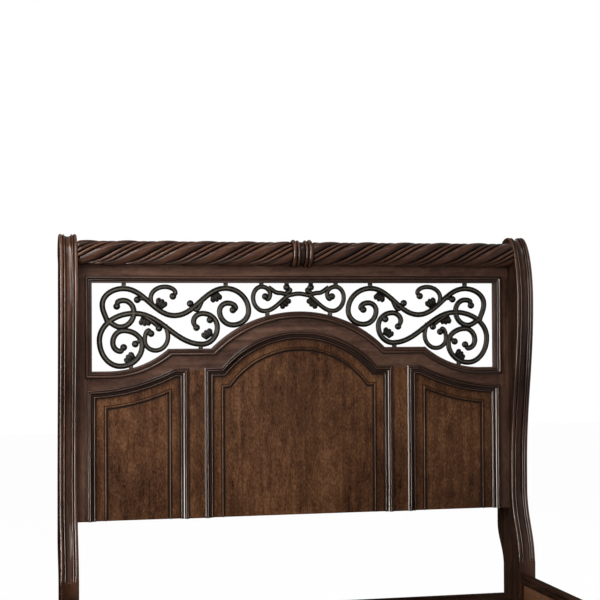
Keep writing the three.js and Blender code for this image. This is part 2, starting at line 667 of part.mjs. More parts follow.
/** A lug from the bar at `point` down to the frame, whose height there is floorAt(x). */
function bottomLug(point, floorAt) {
  const [x, z] = place(point);
  const half = LUG.width / 2;
  return lug(x, Math.max(floorAt(x - half), floorAt(x + half)) + 2 * GAP, z);
}

/** One side scroll panel, drawn to the right of the middle. */
function sideScroll() {
  const bars = [
    bar([[927, 566], [950, 754, 'v'], [849, 936, 'h'], [607, 627, 'h'], [362, 940, 'h'],
      [248, 680, 'v'], [325, 517, 'h'], [390, 676, 'v'], [350, 769, 'h'],
      [313, 718, 'v']], BAR_RADIUS),
    bar([[885, 740], [878, 775, 'v'], [850, 801, 'h'], [801, 667, 'v'], [865, 500, 'h'],
      [925, 570]], THIN_BAR),
    bar([[503, 485], [516, 557, 'v'], [472, 651, 'h'], [401, 492, 'v'], [476, 298, 'h'],
      [800, 655, 'h'], [964, 350, 'v'], [865, 56, 'h'], [762, 291, 'v'], [850, 460, 'h'],
      [901, 324, 'v'], [865, 226, 'h'], [850, 269]], BAR_RADIUS),
    bar([[720, 424], [731, 460, 'h'], [750, 346, 'v'], [698, 231, 'h'], [639, 388, 'v'],
      [653, 528]], THIN_BAR),
    bar([[713, 748], [721, 828, 'v'], [654, 956, 'h'], [603, 887, 'v'], [615, 848]], THIN_BAR),
    bar([[785, 809], [758, 825, 'h'], [691, 702]], THIN_BAR),
    bar([[532, 764], [506, 689, 'h'], [456, 806]], THIN_BAR),
    bar([[682, 489], [707, 547], [762, 638]], THIN_BAR),
    bar([[795, 307], [766, 359]], THIN_BAR),
    bar([[437, 576], [411, 605]], THIN_BAR),
  ];
  const balls = [
    [325, 689], [882, 735], [850, 269], [502, 489], [720, 424], [615, 848], [785, 809],
    [532, 764], [682, 485], [795, 307], [437, 576],
  ].map((point) => ball(point));
  const leaves = [
    leaf([809, 130], 0.67),
    leaf([440, 390], 0.96),
    leaf([415, 864], -1.94),
    leaf([750, 595], -1.50),
    leaf([677, 736], 2.11),
  ];
  const lugs = [
    topLug([849, 936]), topLug([360, 940]), bottomLug([482, 300], () => OPENING.shoulder),
    bottomLug([286, 553], archHeight), bottomLug([816, 81], sweepHeight),
  ];
  return join([...bars, ...balls, ...leaves, ...lugs]);
}

/** Half of the middle scroll panel, drawn to the right of the middle. */
function midScrollHalf() {
  const bars = [
    bar([[166, 841], [155, 815, 'h'], [142, 874, 'v'], [184, 958, 'h'], [226, 832, 'v'],
      [170, 676, 'h'], [0, 868, 'h']], THIN_BAR),
    bar([[152, 948], [93, 893, 'h'], [54, 922]], THIN_BAR),
  ];
  const lugs = [topLug([185, 958]), topLug([60, 955]), bottomLug([156, 683], archHeight)];
  return join([...bars, ball([166, 845]), ball([60, 951]), leaf([80, 756], -2.54), ...lugs]);
}

const scroll = sideScroll();
piece('headboard_scroll_right', geometryOf(scroll), 'iron');
piece('headboard_scroll_left', geometryOf(scroll.mirror([1, 0, 0])), 'iron');
const half = midScrollHalf();
piece('headboard_scroll_centre', geometryOf(half.add(half.mirror([1, 0, 0]))), 'iron');

// ---------------------------------------------------------------- footboard frame
const STILE_INNER = FRAME_END - FOOT_FRAME.stile;
const MULLION_CENTRE = (MULLION_INNER + MULLION_OUTER) / 2;
const footBlock = (x0, x1, z0, z1) => boxSolid(x0, x1, FOOT_FACE, FOOT_INNER, z0, z1);

piece('footboard_top_rail', geometryOf(
  footBlock(-FRAME_END, FRAME_END, FOOT_PANEL_TOP, TAIL.height - FOOT_FRAME.topRailDrop).subtract(
    rollTrough({ y: FOOT_INNER - TAIL_ROPE.y, z: TAIL_ROPE_Z }))), 'rail');
piece('footboard_bottom_rail', geometryOf(
  footBlock(-STILE_INNER + GAP, STILE_INNER - GAP, FOOT_FRAME.low, FOOT_RAIL_TOP)), 'rail');
for (const [label, side] of [['left', -1], ['right', 1]]) {
  const ends = (a, b) => [Math.min(side * a, side * b), Math.max(side * a, side * b)];
  piece(`footboard_stile_${label}`, geometryOf(
    footBlock(...ends(STILE_INNER, FRAME_END), FOOT_FRAME.low, FOOT_PANEL_TOP - GAP)), 'rail');
  const near = MULLION_CENTRE - FOOT_FRAME.mullion / 2;
  const far = MULLION_CENTRE + FOOT_FRAME.mullion / 2;
  piece(`footboard_mullion_${label}`, geometryOf(
    footBlock(...ends(near, far), FOOT_RAIL_TOP + GAP, FOOT_PANEL_TOP - GAP)), 'rail');
}

const sidePanelNear = MULLION_CENTRE + FOOT_FRAME.mullion / 2 - MOULDING_LAP;
const sidePanelFar = STILE_INNER + MOULDING_LAP;
const midPanelHalf = MULLION_CENTRE - FOOT_FRAME.mullion / 2 + MOULDING_LAP;
const FOOT_BOARD = FRAME_THICKNESS - 2 * PANEL_SET_BACK;
for (const [label, x0, x1] of [
  ['left', -sidePanelFar, -sidePanelNear],
  ['centre', -midPanelHalf, midPanelHalf],
  ['right', sidePanelNear, sidePanelFar],
]) {
  const outline = (inset) => footPanelShape(x0, x1, inset);
  piece(`footboard_panel_${label}`, geometryOf(panelBoard(outline, FOOT_FACE, FOOT_BOARD)), 'panel');
  piece(`footboard_panel_moulding_${label}`, geometryOf(panelMoulding(outline, FOOT_FACE)), 'rail');
}

// ---------------------------------------------------------------- side rails
const RAIL_BACK = HEAD_JOINT - HOOK.thickness - GAP;
const RAIL_FRONT = FOOT_JOINT + HOOK.thickness + GAP;
for (const [label, side] of [['left', -1], ['right', 1]]) {
  const ends = (a, b) => [Math.min(side * a, side * b), Math.max(side * a, side * b)];
  piece(`side_rail_${label}`,
    box(...ends(RAIL_INNER, RAIL_OUTER), RAIL_FRONT, RAIL_BACK, RAIL.low, RAIL.high), 'rail');
  const capLow = RAIL.high + GAP;
  const capHigh = capLow + RAIL_CAP.height;
  const cap = new THREE.Shape();
  const r = RAIL_CAP.round;
  const capOuter = RAIL_OUTER + RAIL_CAP.overOutside;
  const capInner = RAIL_INNER - RAIL_CAP.overInside;
  cap.moveTo(capInner, capLow);
  cap.lineTo(capOuter, capLow);
  cap.absarc(capOuter - r, capHigh - r, r, 0, Math.PI / 2, false);
  cap.absarc(capInner + r, capHigh - r, r, Math.PI / 2, Math.PI, false);
  const capSolid = slab(cap, RAIL_FRONT, RAIL_BACK);
  piece(`side_rail_cap_${label}`, geometryOf(side > 0 ? capSolid : capSolid.mirror([1, 0, 0])), 'rail');
  piece(`slat_cleat_${label}`, box(...ends(RAIL_INNER - GAP - CLEAT.width, RAIL_INNER - GAP),
    RAIL_FRONT + CLEAT.short, RAIL_BACK - CLEAT.short, CLEAT.top - CLEAT.height, CLEAT.top), 'pine');
}

// ---------------------------------------------------------------- slats, legs and glides
const SLAT_END = RAIL_INNER - SLAT.short;
const slatPitch = (RAIL_BACK - RAIL_FRONT - 2 * SLAT.inset) / (SLAT.count - 1);
const slatCentre = (index) => RAIL_FRONT + SLAT.inset + index * slatPitch;
for (let i = 0; i < SLAT.count; i += 1) {
  const y = slatCentre(i);
  piece(`slat_${i + 1}`, box(-SLAT_END, SLAT_END, y - SLAT.width / 2, y + SLAT.width / 2,
    SLAT_TOP - SLAT.thickness, SLAT_TOP), 'pine');
}

/** A levelling glide: a floor pad on a threaded stem. */
function glide() {
  const SEGMENTS = 16;
  const profile = [[0, 0], [GLIDE.radius - 2, 0], [GLIDE.radius, 2], [GLIDE.radius, GLIDE.pad - 2],
    [GLIDE.radius - 4, GLIDE.pad], [GLIDE.stem, GLIDE.pad], [GLIDE.stem, GLIDE.stemLength],
    [0, GLIDE.stemLength]].map(([radius, z]) => new THREE.Vector2(radius, z));
  const geometry = new THREE.LatheGeometry(profile, SEGMENTS);
  geometry.rotateX(Math.PI / 2);
  return geometry;
}

LEG.slats.forEach((index, order) => {
  const y = slatCentre(index);
  const bore = new THREE.CylinderGeometry(GLIDE.bore, GLIDE.bore, GLIDE.boreDepth + 1, 16);
  bore.rotateX(Math.PI / 2);
  bore.translate(0, y, LEG.clear + (GLIDE.boreDepth - 1) / 2);
  const leg = boxSolid(-LEG.side / 2, LEG.side / 2, y - LEG.side / 2, y + LEG.side / 2,
    LEG.clear, CLEAT.top).subtract(solid(bore));
  piece(`centre_leg_${order + 1}`, geometryOf(leg), 'pine');
  piece(`levelling_glide_${order + 1}`, glide(), 'glide').position.set(0, y, 0);
});

export default bed;
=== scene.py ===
"""Dresses the sleigh bed: carved posts and rolls, mouldings, framed panels, ironwork and finishes.

Everything is in metres in the frame's own axes: +X across the bed, +Y towards the headboard, +Z up.
Sizes that follow a workshop drawing are written in millimetres and go through mm().
"""

import logging
import math
from dataclasses import dataclass
from enum import Enum
from typing import Callable, Iterable, Iterator, Optional, Sequence

import bmesh
import bpy
from mathutils import Matrix, Vector


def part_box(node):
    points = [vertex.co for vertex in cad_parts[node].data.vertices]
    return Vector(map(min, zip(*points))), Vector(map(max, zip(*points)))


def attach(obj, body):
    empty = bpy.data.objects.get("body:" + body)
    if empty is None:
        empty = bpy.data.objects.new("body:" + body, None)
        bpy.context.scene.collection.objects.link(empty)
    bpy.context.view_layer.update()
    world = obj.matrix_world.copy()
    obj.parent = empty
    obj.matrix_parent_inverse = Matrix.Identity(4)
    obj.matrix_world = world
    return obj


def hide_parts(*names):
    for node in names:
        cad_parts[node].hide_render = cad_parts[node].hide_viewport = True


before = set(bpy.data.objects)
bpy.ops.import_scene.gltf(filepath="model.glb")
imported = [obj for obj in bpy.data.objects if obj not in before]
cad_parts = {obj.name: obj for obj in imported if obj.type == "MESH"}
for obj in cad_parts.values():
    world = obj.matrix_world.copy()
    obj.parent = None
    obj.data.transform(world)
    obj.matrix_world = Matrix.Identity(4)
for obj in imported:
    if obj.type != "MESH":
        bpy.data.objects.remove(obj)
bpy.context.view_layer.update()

log = logging.getLogger("sleigh_bed")

Point = tuple[float, float]
Colour = tuple[float, float, float]
Socket = bpy.types.NodeSocket
Row = list[bmesh.types.BMVert]


def mm(value: float) -> float:
    """Millimetres as metres."""
    return value * 0.001


HEAD_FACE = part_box("headboard_mullion_left")[0].y       # mattress side of the headboard frame
FOOT_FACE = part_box("footboard_mullion_left")[0].y       # outer side of the footboard frame
FOOT_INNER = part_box("footboard_mullion_left")[1].y      # mattress side of the footboard frame
WELD = 1e-6                                             # points closer than this are one


# ---- node graphs
class Grain(Enum):
    """Which way the grain of a piece runs. The value is the order that puts that axis first."""

    ACROSS = (0, 1, 2)
    LENGTHWISE = (1, 0, 2)
    UPRIGHT = (2, 0, 1)
    PATH = ()


class Graph:
    """The nodes of a material or a world under construction."""

    def __init__(self, owner: bpy.types.ID) -> None:
        """Empties the node tree of owner."""
        self.owner = owner
        owner.use_nodes = True
        self.tree = owner.node_tree
        self.tree.nodes.clear()

    def node(self, kind: str, inputs: Optional[dict] = None, **settings: object) -> bpy.types.Node:
        """Adds a node.

        Args:
            kind: The node's type, without the ShaderNode in front.
            inputs: For an input's name or number, a plain value or the output to link to it.
            **settings: Properties of the node.

        Returns:
            The new node.
        """
        made = self.tree.nodes.new("ShaderNode" + kind)
        for key, value in settings.items():
            setattr(made, key, value)
        for key, value in (inputs or {}).items():
            if isinstance(value, Socket):
                self.tree.links.new(value, made.inputs[key])
            else:
                made.inputs[key].default_value = value
        return made

    def sum(self, operation: str, *values: object) -> Socket:
        """The result of a Math node on the values."""
        return self.node("Math", dict(enumerate(values)), operation=operation).outputs[0]

    def weigh(self, *parts: tuple[Socket, float]) -> Socket:
        """The sum of the parts, each times its weight."""
        total = None
        for value, weight in parts:
            part = self.sum("MULTIPLY", value, weight)
            total = part if total is None else self.sum("ADD", total, part)
        return total

    def blend(self, share: object, first: object, second: object) -> Socket:
        """Mixes two colours.

        Args:
            share: How much of the second, from 0 to 1.
            first: A colour or a socket.
            second: A colour or a socket.

        Returns:
            The colour output.
        """
        ends = [(*value, 1.0) if isinstance(value, tuple) else value for value in (first, second)]
        return self.node("Mix", {0: share, 6: ends[0], 7: ends[1]}, data_type="RGBA").outputs[2]

    def noise(self, place: Socket, scale: Sequence[float], offset: Sequence[float] = (0, 0, 0),
              detail: float = 3.0, roughness: float = 0.5, distortion: float = 0.0) -> Socket:
        """Noise at the place.

        Args:
            place: The place on the piece in metres.
            scale: How often the noise comes in a metre, along each axis.
            offset: How far its pattern is moved.
            detail: Its levels of detail.
            roughness: How strong the fine levels are.
            distortion: How far the pattern is warped.

        Returns:
            A value from 0 to 1.
        """
        spot = self.node("Mapping", {"Vector": place, "Scale": scale, "Location": offset})
        return self.node("TexNoise", {
            "Vector": spot.outputs[0], "Scale": 1.0, "Detail": detail, "Roughness": roughness,
            "Distortion": distortion}).outputs[0]

    def spread(self, value: object, low: float, high: float, to_low: float = 0.0,
               to_high: float = 1.0) -> Socket:
        """The value, clamped to low..high and carried over to to_low..to_high."""
        inputs = dict(enumerate((value, low, high, to_low, to_high)))
        return self.node("MapRange", inputs).outputs[0]

    def ramp(self, value: object, stops: Sequence[tuple[float, Colour]]) -> Socket:
        """The colour of a ramp with these stops at the value."""
        made = self.node("ValToRGB", {0: value})
        elements = made.color_ramp.elements
        while len(elements) < len(stops):
            elements.new(0.5)
        for element, (place, colour) in zip(elements, stops):
            element.position = place
            element.color = (*colour, 1.0)
        return made.outputs[0]

    def attribute(self, name: str) -> Socket:
        """A number kept on the mesh's points."""
        return self.node("Attribute", attribute_name=name).outputs["Fac"]

    def place(self, grain: Grain) -> Socket:
        """The place on the piece in metres, with the grain's way first."""
        if grain is Grain.PATH:
            return self.node("UVMap", uv_map="grain").outputs[0]
        split = self.node("SeparateXYZ", {0: self.node("TexCoord").outputs["Object"]})
        axes = {index: split.outputs[axis] for index, axis in enumerate(grain.value)}
        return self.node("CombineXYZ", axes).outputs[0]

    def surface(self, colour: Socket, roughness: Socket, bump: Socket, depth: float,
                **fixed: float) -> bpy.types.Material:
        """Ends the material in one shader.

        Args:
            colour: The base colour.
            roughness: The roughness.
            bump: The relief, from 0 to 1.
            depth: Height of the relief in metres.
            **fixed: Plain values of the shader's other sockets, with _ for a space.

        Returns:
            The finished material.
        """
        relief = self.node("Bump", {"Strength": 1.0, "Distance": depth, "Height": bump})
        plain = {name.replace("_", " "): value for name, value in fixed.items()}
        shader = self.node("BsdfPrincipled", {
            "Base Color": colour, "Roughness": roughness, "Normal": relief.outputs[0], **plain})
        self.node("OutputMaterial", {"Surface": shader.outputs[0]})
        return self.owner


# ---- finishes
@dataclass(frozen=True)
class Finish:
    """What every finish has: a name, and the slot whose pieces it covers."""

    name: str
    slot: str

    GRAIN = Grain.UPRIGHT       # the way of a finish whose look has none

    def material(self, grain: Optional[Grain] = None) -> bpy.types.Material:
        """The finish with its grain running that way, made once and then shared."""
        title = f"{self.name}_{grain.name.lower()}" if grain else self.name
        if title in bpy.data.materials:
            return bpy.data.materials[title]
        graph = Graph(bpy.data.materials.new(title))
        return self.mix(graph, graph.place(grain or self.GRAIN))

    def mix(self, graph: Graph, place: Socket) -> bpy.types.Material:
        """Builds the finish's nodes on the place of each point."""
        raise NotImplementedError


@dataclass(frozen=True)
class WoodFinish(Finish):
    """Lacquered stained wood: mottled figure, streaks, pores, glaze and painted shade in grooves.
    """

    deep: Colour
    body: Colour
    light: Colour
    # Colour of the glaze and of the painted shade in grooves and corners.
    glaze_and_shade: Colour = (0.010, 0.0055, 0.004)
    mottle: float = 0.5
    speckle: float = 0.12
    roughness: float = 0.38
    gloss: float = 0.06
    coat: float = 0.05
    coat_roughness: float = 0.20
    relief: float = 0.00025

    CLOUD = 0.26                # share of the broad light and dark fields in the figure
    RUB_AND_HIGHLIGHT = 0.55               # how light full wear and painted highlight make the wood
    MOST_GLAZE_AND_SHADE = 0.96               # how much of the wood full glaze and painted shade hide

    def mix(self, graph: Graph, place: Socket) -> bpy.types.Material:
        """Builds the figure, then pores, wear with painted highlight, glaze with painted shade."""
        streak = graph.noise(place, (2.2, 46.0, 46.0), (3.1, 0.7, 1.9), 6.0, 0.6, 0.5)
        mottle = graph.noise(place, (17.0, 34.0, 34.0), (0.4, 5.2, 2.2), 5.0, 0.62, 0.8)
        cloud = graph.noise(place, (2.6, 4.2, 4.2), (7.7, 1.3, 0.6))
        pores = graph.noise(place, (26.0, 620.0, 620.0), detail=2.0, roughness=0.6)
        speck = graph.noise(place, (90.0, 210.0, 210.0), (1.2, 4.1, 0.9), roughness=0.6)
        figure = graph.weigh((streak, 1.0 - self.mottle), (mottle, self.mottle))
        figure = graph.weigh((figure, 1.0 - self.CLOUD - self.speckle), (cloud, self.CLOUD),
                             (speck, self.speckle))
        colour = graph.ramp(figure, ((0.40, self.deep), (0.50, self.body), (0.60, self.light)))
        colour = graph.blend(graph.spread(pores, 0.56, 0.72, 0.0, 0.45), colour, self.deep)
        # Lighter where the mesh holds wear and painted highlight.
        wear_and_highlight = graph.sum("MULTIPLY", graph.attribute("rub_and_highlight"), self.RUB_AND_HIGHLIGHT)
        colour = graph.blend(wear_and_highlight, colour, self.light)
        # Darker where the mesh holds glaze and painted shade: grooves, corners and shaded flanks.
        glaze_and_shade_mask = graph.sum("MULTIPLY", graph.attribute("glaze_and_shade"),
                          graph.spread(mottle, 0.2, 0.6, 0.8, 1.0))
        colour = graph.blend(graph.sum("MINIMUM", glaze_and_shade_mask, self.MOST_GLAZE_AND_SHADE), colour, self.glaze_and_shade)
        rough = graph.spread(mottle, 0.3, 0.7, self.roughness - 0.05, self.roughness + 0.09)
        return graph.surface(
            colour, rough, graph.weigh((pores, -0.35), (mottle, 0.65)), self.relief, IOR=1.5,
            Specular_IOR_Level=self.gloss, Coat_Weight=self.coat,
            Coat_Roughness=self.coat_roughness)


@dataclass(frozen=True)
class IronFinish(Finish):
    """Forged iron, blackened, with a dull bronze painted highlight on its faces."""

    black: Colour
    painted_highlight: Colour
    roughness: float = 0.36
    gloss: float = 0.05

    GRAIN = Grain.ACROSS

    def mix(self, graph: Graph, place: Socket) -> bpy.types.Material:
        """Builds the hammered black, and a bronze painted highlight where a face looks front or
        rear.
        """
        hammer = graph.noise(place, (70.0, 70.0, 70.0))
        dust = graph.noise(place, (260.0, 260.0, 260.0), detail=4.0, roughness=0.6)
        split = graph.node("SeparateXYZ", {0: graph.node("NewGeometry").outputs["Normal"]})
        # Painted highlight where a face looks to the front or rear, broken by the hammering; the
        # rest stays black.
        facing = graph.spread(graph.sum("ABSOLUTE", split.outputs[1]), 0.93, 1.0)
        wear_and_highlight = graph.sum("MULTIPLY", facing, graph.spread(hammer, 0.3, 0.65, 0.55, 1.0))
        # No painted highlight where a leaf holds painted shade.
        wear_and_highlight = graph.sum("MULTIPLY", wear_and_highlight, graph.sum("SUBTRACT", 1.0, graph.attribute("glaze_and_shade")))
        colour = graph.blend(wear_and_highlight, self.black, self.painted_highlight)
        colour = graph.blend(graph.spread(dust, 0.5, 0.75, 0.0, 0.4), colour, self.black)
        rough = graph.spread(hammer, 0.3, 0.7, self.roughness - 0.08, self.roughness + 0.14)
        return graph.surface(colour, rough, graph.weigh((hammer, 1.0), (dust, 0.25)), 0.0006,
                             Specular_IOR_Level=self.gloss)


@dataclass(frozen=True)
class PlainFinish(Finish):
    """Zinc plate or moulded plastic: fine brushing or texture on an even colour."""

    colour: Colour
    wear_and_highlight: Colour
    metallic: float
    roughness: float

    def mix(self, graph: Graph, place: Socket) -> bpy.types.Material:
        """Builds the brushing, and the worn patches of the colour."""
        brush = graph.noise(place, (40.0, 900.0, 900.0), roughness=0.6)
        patch = graph.noise(place, (60.0, 60.0, 60.0))
        colour = graph.blend(graph.spread(patch, 0.35, 0.7), self.colour, self.wear_and_highlight)
        rough = graph.spread(brush, 0.3, 0.7, self.roughness - 0.08, self.roughness + 0.1)
        return graph.surface(colour, rough, brush, 0.00006, Metallic=self.metallic)


LACQUER = dict(mottle=0.30, roughness=0.34, gloss=0.0, coat_roughness=0.15, relief=0.00012)
FRAME_WOOD = WoodFinish(
    "frame_wood", "dark_wood", (0.030, 0.0135, 0.0085), (0.074, 0.0365, 0.0240),
    (0.120, 0.064, 0.043), mottle=0.35)
# A lighter copy of the frame wood: painted light on the top rail, which sits in the rope's shade.
TOP_WOOD = WoodFinish(
    "top_wood", "dark_wood", (0.044, 0.0205, 0.0130), (0.104, 0.052, 0.0340),
    (0.150, 0.080, 0.054), mottle=0.35)
CARVED_WOOD = WoodFinish(
    "carved_wood", "dark_wood", (0.014, 0.0054, 0.0030), (0.046, 0.0185, 0.0100),
    (0.094, 0.042, 0.0245), glaze_and_shade=(0.0030, 0.0019, 0.0013), coat=0.21, **LACQUER)
MOULDING_WOOD = WoodFinish(
    "moulding_wood", "dark_wood", (0.014, 0.0062, 0.0038), (0.044, 0.0205, 0.0130),
    (0.084, 0.042, 0.028), glaze_and_shade=(0.0035, 0.0019, 0.0013), coat=0.34, **LACQUER)
# A darker, matte copy of the carved wood: painted shade on the posts' flat sides. The lower rail
# and the rail caps take it too.
SIDE_WOOD = WoodFinish(
    "side_wood", "dark_wood", (0.010, 0.0052, 0.0034), (0.026, 0.0135, 0.0090),
    (0.048, 0.0260, 0.0175), mottle=0.30, roughness=0.62, gloss=0.0, coat=0.0)
PANEL_WOOD = WoodFinish(
    "panel_wood", "panel_wood", (0.020, 0.0072, 0.0028), (0.078, 0.0318, 0.0132),
    (0.165, 0.0780, 0.0360), mottle=0.55, speckle=0.30, roughness=0.42, gloss=0.05, coat=0.03)
RAIL_WOOD = WoodFinish(
    "rail_wood", "dark_wood", (0.050, 0.021, 0.010), (0.118, 0.053, 0.026),
    (0.175, 0.084, 0.043), mottle=0.4, roughness=0.5, gloss=0.01, coat=0.0)
PINE = WoodFinish(
    "slat_pine_wood", "slat_pine", (0.42, 0.27, 0.13), (0.60, 0.43, 0.24), (0.72, 0.56, 0.35),
    glaze_and_shade=(0.2, 0.12, 0.06), mottle=0.25, roughness=0.62, coat=0.0)
# Black iron, and the bronze of its painted highlight.
IRON = IronFinish(
    "wrought_iron_finish", "wrought_iron", (0.0026, 0.0024, 0.0020), (0.092, 0.080, 0.061))
STEEL = PlainFinish(
    "zinc_plate", "hook_steel", (0.50, 0.50, 0.51), (0.38, 0.37, 0.36), 0.9, 0.36)
PLASTIC = PlainFinish(
    "glide_black", "glide_plastic", (0.022, 0.022, 0.023), (0.04, 0.04, 0.04), 0.0, 0.5)


# ---- mesh workshop
class Workpiece:
    """One piece under construction: a bmesh that grows by rows of points."""

    def __init__(self, name: str) -> None:
        """Starts an empty workpiece called name."""
        self.name = name
        self.bm = bmesh.new()
        # How much glaze and painted shade, and how much wear and painted highlight, each point
        # holds.
        self.glaze_and_shade = self.bm.verts.layers.float.new("glaze_and_shade")
        self.rub_and_highlight = self.bm.verts.layers.float.new("rub_and_highlight")
        self.uv = self.bm.loops.layers.uv.new("grain")
        self.spots: dict[bmesh.types.BMVert, tuple[float, float, int]] = {}
        self.columns = 0
        self.girth = 0.0
        self.closed = False

    def start(self, places: Sequence[Vector], closed: bool) -> Row:
        """Lays the first row.

        Args:
            places: The row's points in order.
            closed: Whether the last point joins the first.

        Returns:
            The row's vertices.
        """
        self.closed = closed
        self.columns = len(places)
        row = [self.bm.verts.new(place) for place in places]
        for pair in self.pairs(row):
            self.bm.edges.new(pair)
        along = 0.0
        for index, vert in enumerate(row):
            if index:
                along += (vert.co - row[index - 1].co).length
            self.spots[vert] = (along, 0.0, index)
        self.girth = along + ((row[0].co - row[-1].co).length if closed else 0.0)
        return row

    def pairs(self, row: Row) -> Iterable[tuple[bmesh.types.BMVert, bmesh.types.BMVert]]:
        """A row's neighbours, two by two."""
        return zip(row, row[1:] + row[:1] if self.closed else row[1:])

    def edges(self, row: Row) -> list[bmesh.types.BMEdge]:
        """The edges that join a row's neighbours."""
        return [self.bm.edges.get(pair) for pair in self.pairs(row)]

    def extend(self, row: Row, places: Sequence[Vector], step: Optional[float] = None) -> Row:
        """Extrudes a row to new places.

        Args:
            row: The row's vertices.
            places: Where the new row's points lie.
            step: How far the new row is across the grain, if not its real distance.

        Returns:
            The new row's vertices.
        """
        made = bmesh.ops.extrude_edge_only(self.bm, edges=self.edges(row))["geom"]
        fresh = {item for item in made if isinstance(item, bmesh.types.BMVert)}
        twins = [next(edge.other_vert(vert) for edge in vert.link_edges
                      if edge.other_vert(vert) in fresh) for vert in row]
        if step is None:
            middle = len(row) // 2
            step = (places[middle] - row[middle].co).length
        for vert, twin, place in zip(row, twins, places):
            along, across, index = self.spots[vert]
            self.spots[twin] = (along, across + step, index)
            twin.co = place
        return twins

    def sweep(self, rows: Iterable[Sequence[Vector]], closed: bool,
              step: Optional[float] = None) -> list[Row]:
        """Lays row after row.

        Args:
            rows: The places of each row's points.
            closed: Whether each row's last point joins its first.
            step: How far each row is across the grain, if not its real distance.

        Returns:
            The vertices of each row.
        """
        made: list[Row] = []
        for places in rows:
            made.append(self.extend(made[-1], places, step) if made else self.start(places, closed))
        return made

    def paint(self, row: Row, glaze_and_shade: Iterable[float]) -> None:
        """Sets how much glaze and painted shade each point of a row holds."""
        for vert, amount in zip(row, glaze_and_shade):
            vert[self.glaze_and_shade] = amount

    def cap(self, edges: Sequence[bmesh.types.BMEdge]) -> None:
        """Closes a flat ring of edges with one face."""
        bmesh.ops.contextual_create(self.bm, geom=list(edges))

    def cap_rows(self, *rows: Row) -> None:
        """Closes each row with one face, and joins an open row's ends for it."""
        for row in rows:
            ring = self.edges(row)
            if not self.closed:
                ring.append(self.bm.edges.new((row[0], row[-1])))
            self.cap(ring)

    def cap_open_ends(self) -> None:
        """Closes every ring of edges that has only one face."""
        open_edges = [edge for edge in self.bm.edges if edge.is_boundary]
        bmesh.ops.holes_fill(self.bm, edges=open_edges, sides=0)

    def map_grain(self, turned: bool = False) -> None:
        """Writes the grain's map in metres, along the rows first, or across them if turned."""
        last = self.columns - 1
        for face in self.bm.faces:
            spots = [self.spots.get(loop.vert) for loop in face.loops]
            if len(face.verts) > 4 or None in spots:
                flat = [(loop.vert.co.z, loop.vert.co.y + loop.vert.co.x) for loop in face.loops]
            else:
                wraps = self.closed and {0, last} <= {spot[2] for spot in spots}
                flat = [(self.girth if wraps and index == 0 else along, across)
                        for along, across, index in spots]
            for loop, place in zip(face.loops, flat):
                loop[self.uv].uv = place[::-1] if turned else place

    def finish(self, finish: Finish, grain: Optional[Grain], node: str,
               sharp: float = 38.0) -> bpy.types.Object:
        """Turns the workpiece into a finished piece of the bed.

        Args:
            finish: Its finish.
            grain: Which way its grain runs, or None for a finish without grain.
            node: The node that it stands for.
            sharp: Edges that turn by more degrees than this stay sharp.

        Returns:
            The piece's object.
        """
        bmesh.ops.remove_doubles(self.bm, verts=self.bm.verts, dist=WELD / 10)
        bmesh.ops.recalc_face_normals(self.bm, faces=self.bm.faces)
        for face in self.bm.faces:
            face.smooth = True
        for edge in self.bm.edges:
            if len(edge.link_faces) == 2:
                edge.smooth = edge.calc_face_angle(0.0) < math.radians(sharp)
        mesh = bpy.data.meshes.new(self.name)
        self.bm.to_mesh(mesh)
        self.bm.free()
        piece = bpy.data.objects.new(self.name, mesh)
        bpy.context.scene.collection.objects.link(piece)
        mesh.materials.append(finish.material(grain))
        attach(piece, "bed")
        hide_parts(node)
        log.info("%s: %d faces", self.name, len(mesh.polygons))
        return piece


def dress(node: str, finish: Finish, grain: Optional[Grain] = None) -> None:
    """Gives a node that stays as it is its finish."""
    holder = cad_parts[node]
    made = finish.material(grain)
    if not holder.material_slots:
        holder.data.materials.append(made)
    for place in holder.material_slots:
        place.material = made
    log.info("%s: finish only", node)


# ---- lines
QUARTER = 0.5523        # handle of a quarter turn
EASE = 0.4              # handle of an S-shaped stretch
Stretch = tuple[Point, Point, Point, Point]


def handle(way: str, start: Point, end: Point, share: float) -> Point:
    """The handle of a turning point that faces the next one."""
    if way == "h":
        return (start[0] + (end[0] - start[0]) * share, start[1])
    if way == "v":
        return (start[0], start[1] + (end[1] - start[1]) * share)
    return (start[0] + (end[0] - start[0]) / 3, start[1] + (end[1] - start[1]) / 3)


def stretches(points: Sequence[tuple]) -> list[Stretch]:
    """The curves between turning points.

    Args:
        points: (a, b, way): way is v where the line runs plumb, h where it runs level, or
            missing at a free end.

    Returns:
        Four control points for each stretch.
    """
    curves = []
    for here, there in zip(points, points[1:]):
        way, next_way = (here[2:] or ("",))[0], (there[2:] or ("",))[0]
        share = QUARTER if way and next_way and way != next_way else EASE
        curves.append((here[:2], handle(way, here, there, share),
                       handle(next_way, there, here, share), there[:2]))
    return curves


def on_curve(curve: Stretch, share: float) -> Point:
    """The point at a share of a stretch."""
    rest = 1.0 - share
    weights = (rest ** 3, 3 * rest ** 2 * share, 3 * rest * share ** 2, share ** 3)
    return tuple(sum(weight * point[axis] for weight, point in zip(weights, curve))
                 for axis in (0, 1))


def turning_line(points: Sequence[tuple], steps: int, spacing: float) -> list[Point]:
    """Points along a turning line.

    Args:
        points: The turning points.
        steps: Points on each curved stretch.
        spacing: Longest step on a straight stretch.

    Returns:
        The line's points.
    """
    line = [points[0][:2]]
    for curve in stretches(points):
        straight = curve[0][0] == curve[3][0] or curve[0][1] == curve[3][1]
        length = math.dist(curve[0], curve[3])
        count = max(1, math.ceil(length / spacing)) if straight else steps
        line.extend(on_curve(curve, index / count) for index in range(1, count + 1))
    return line


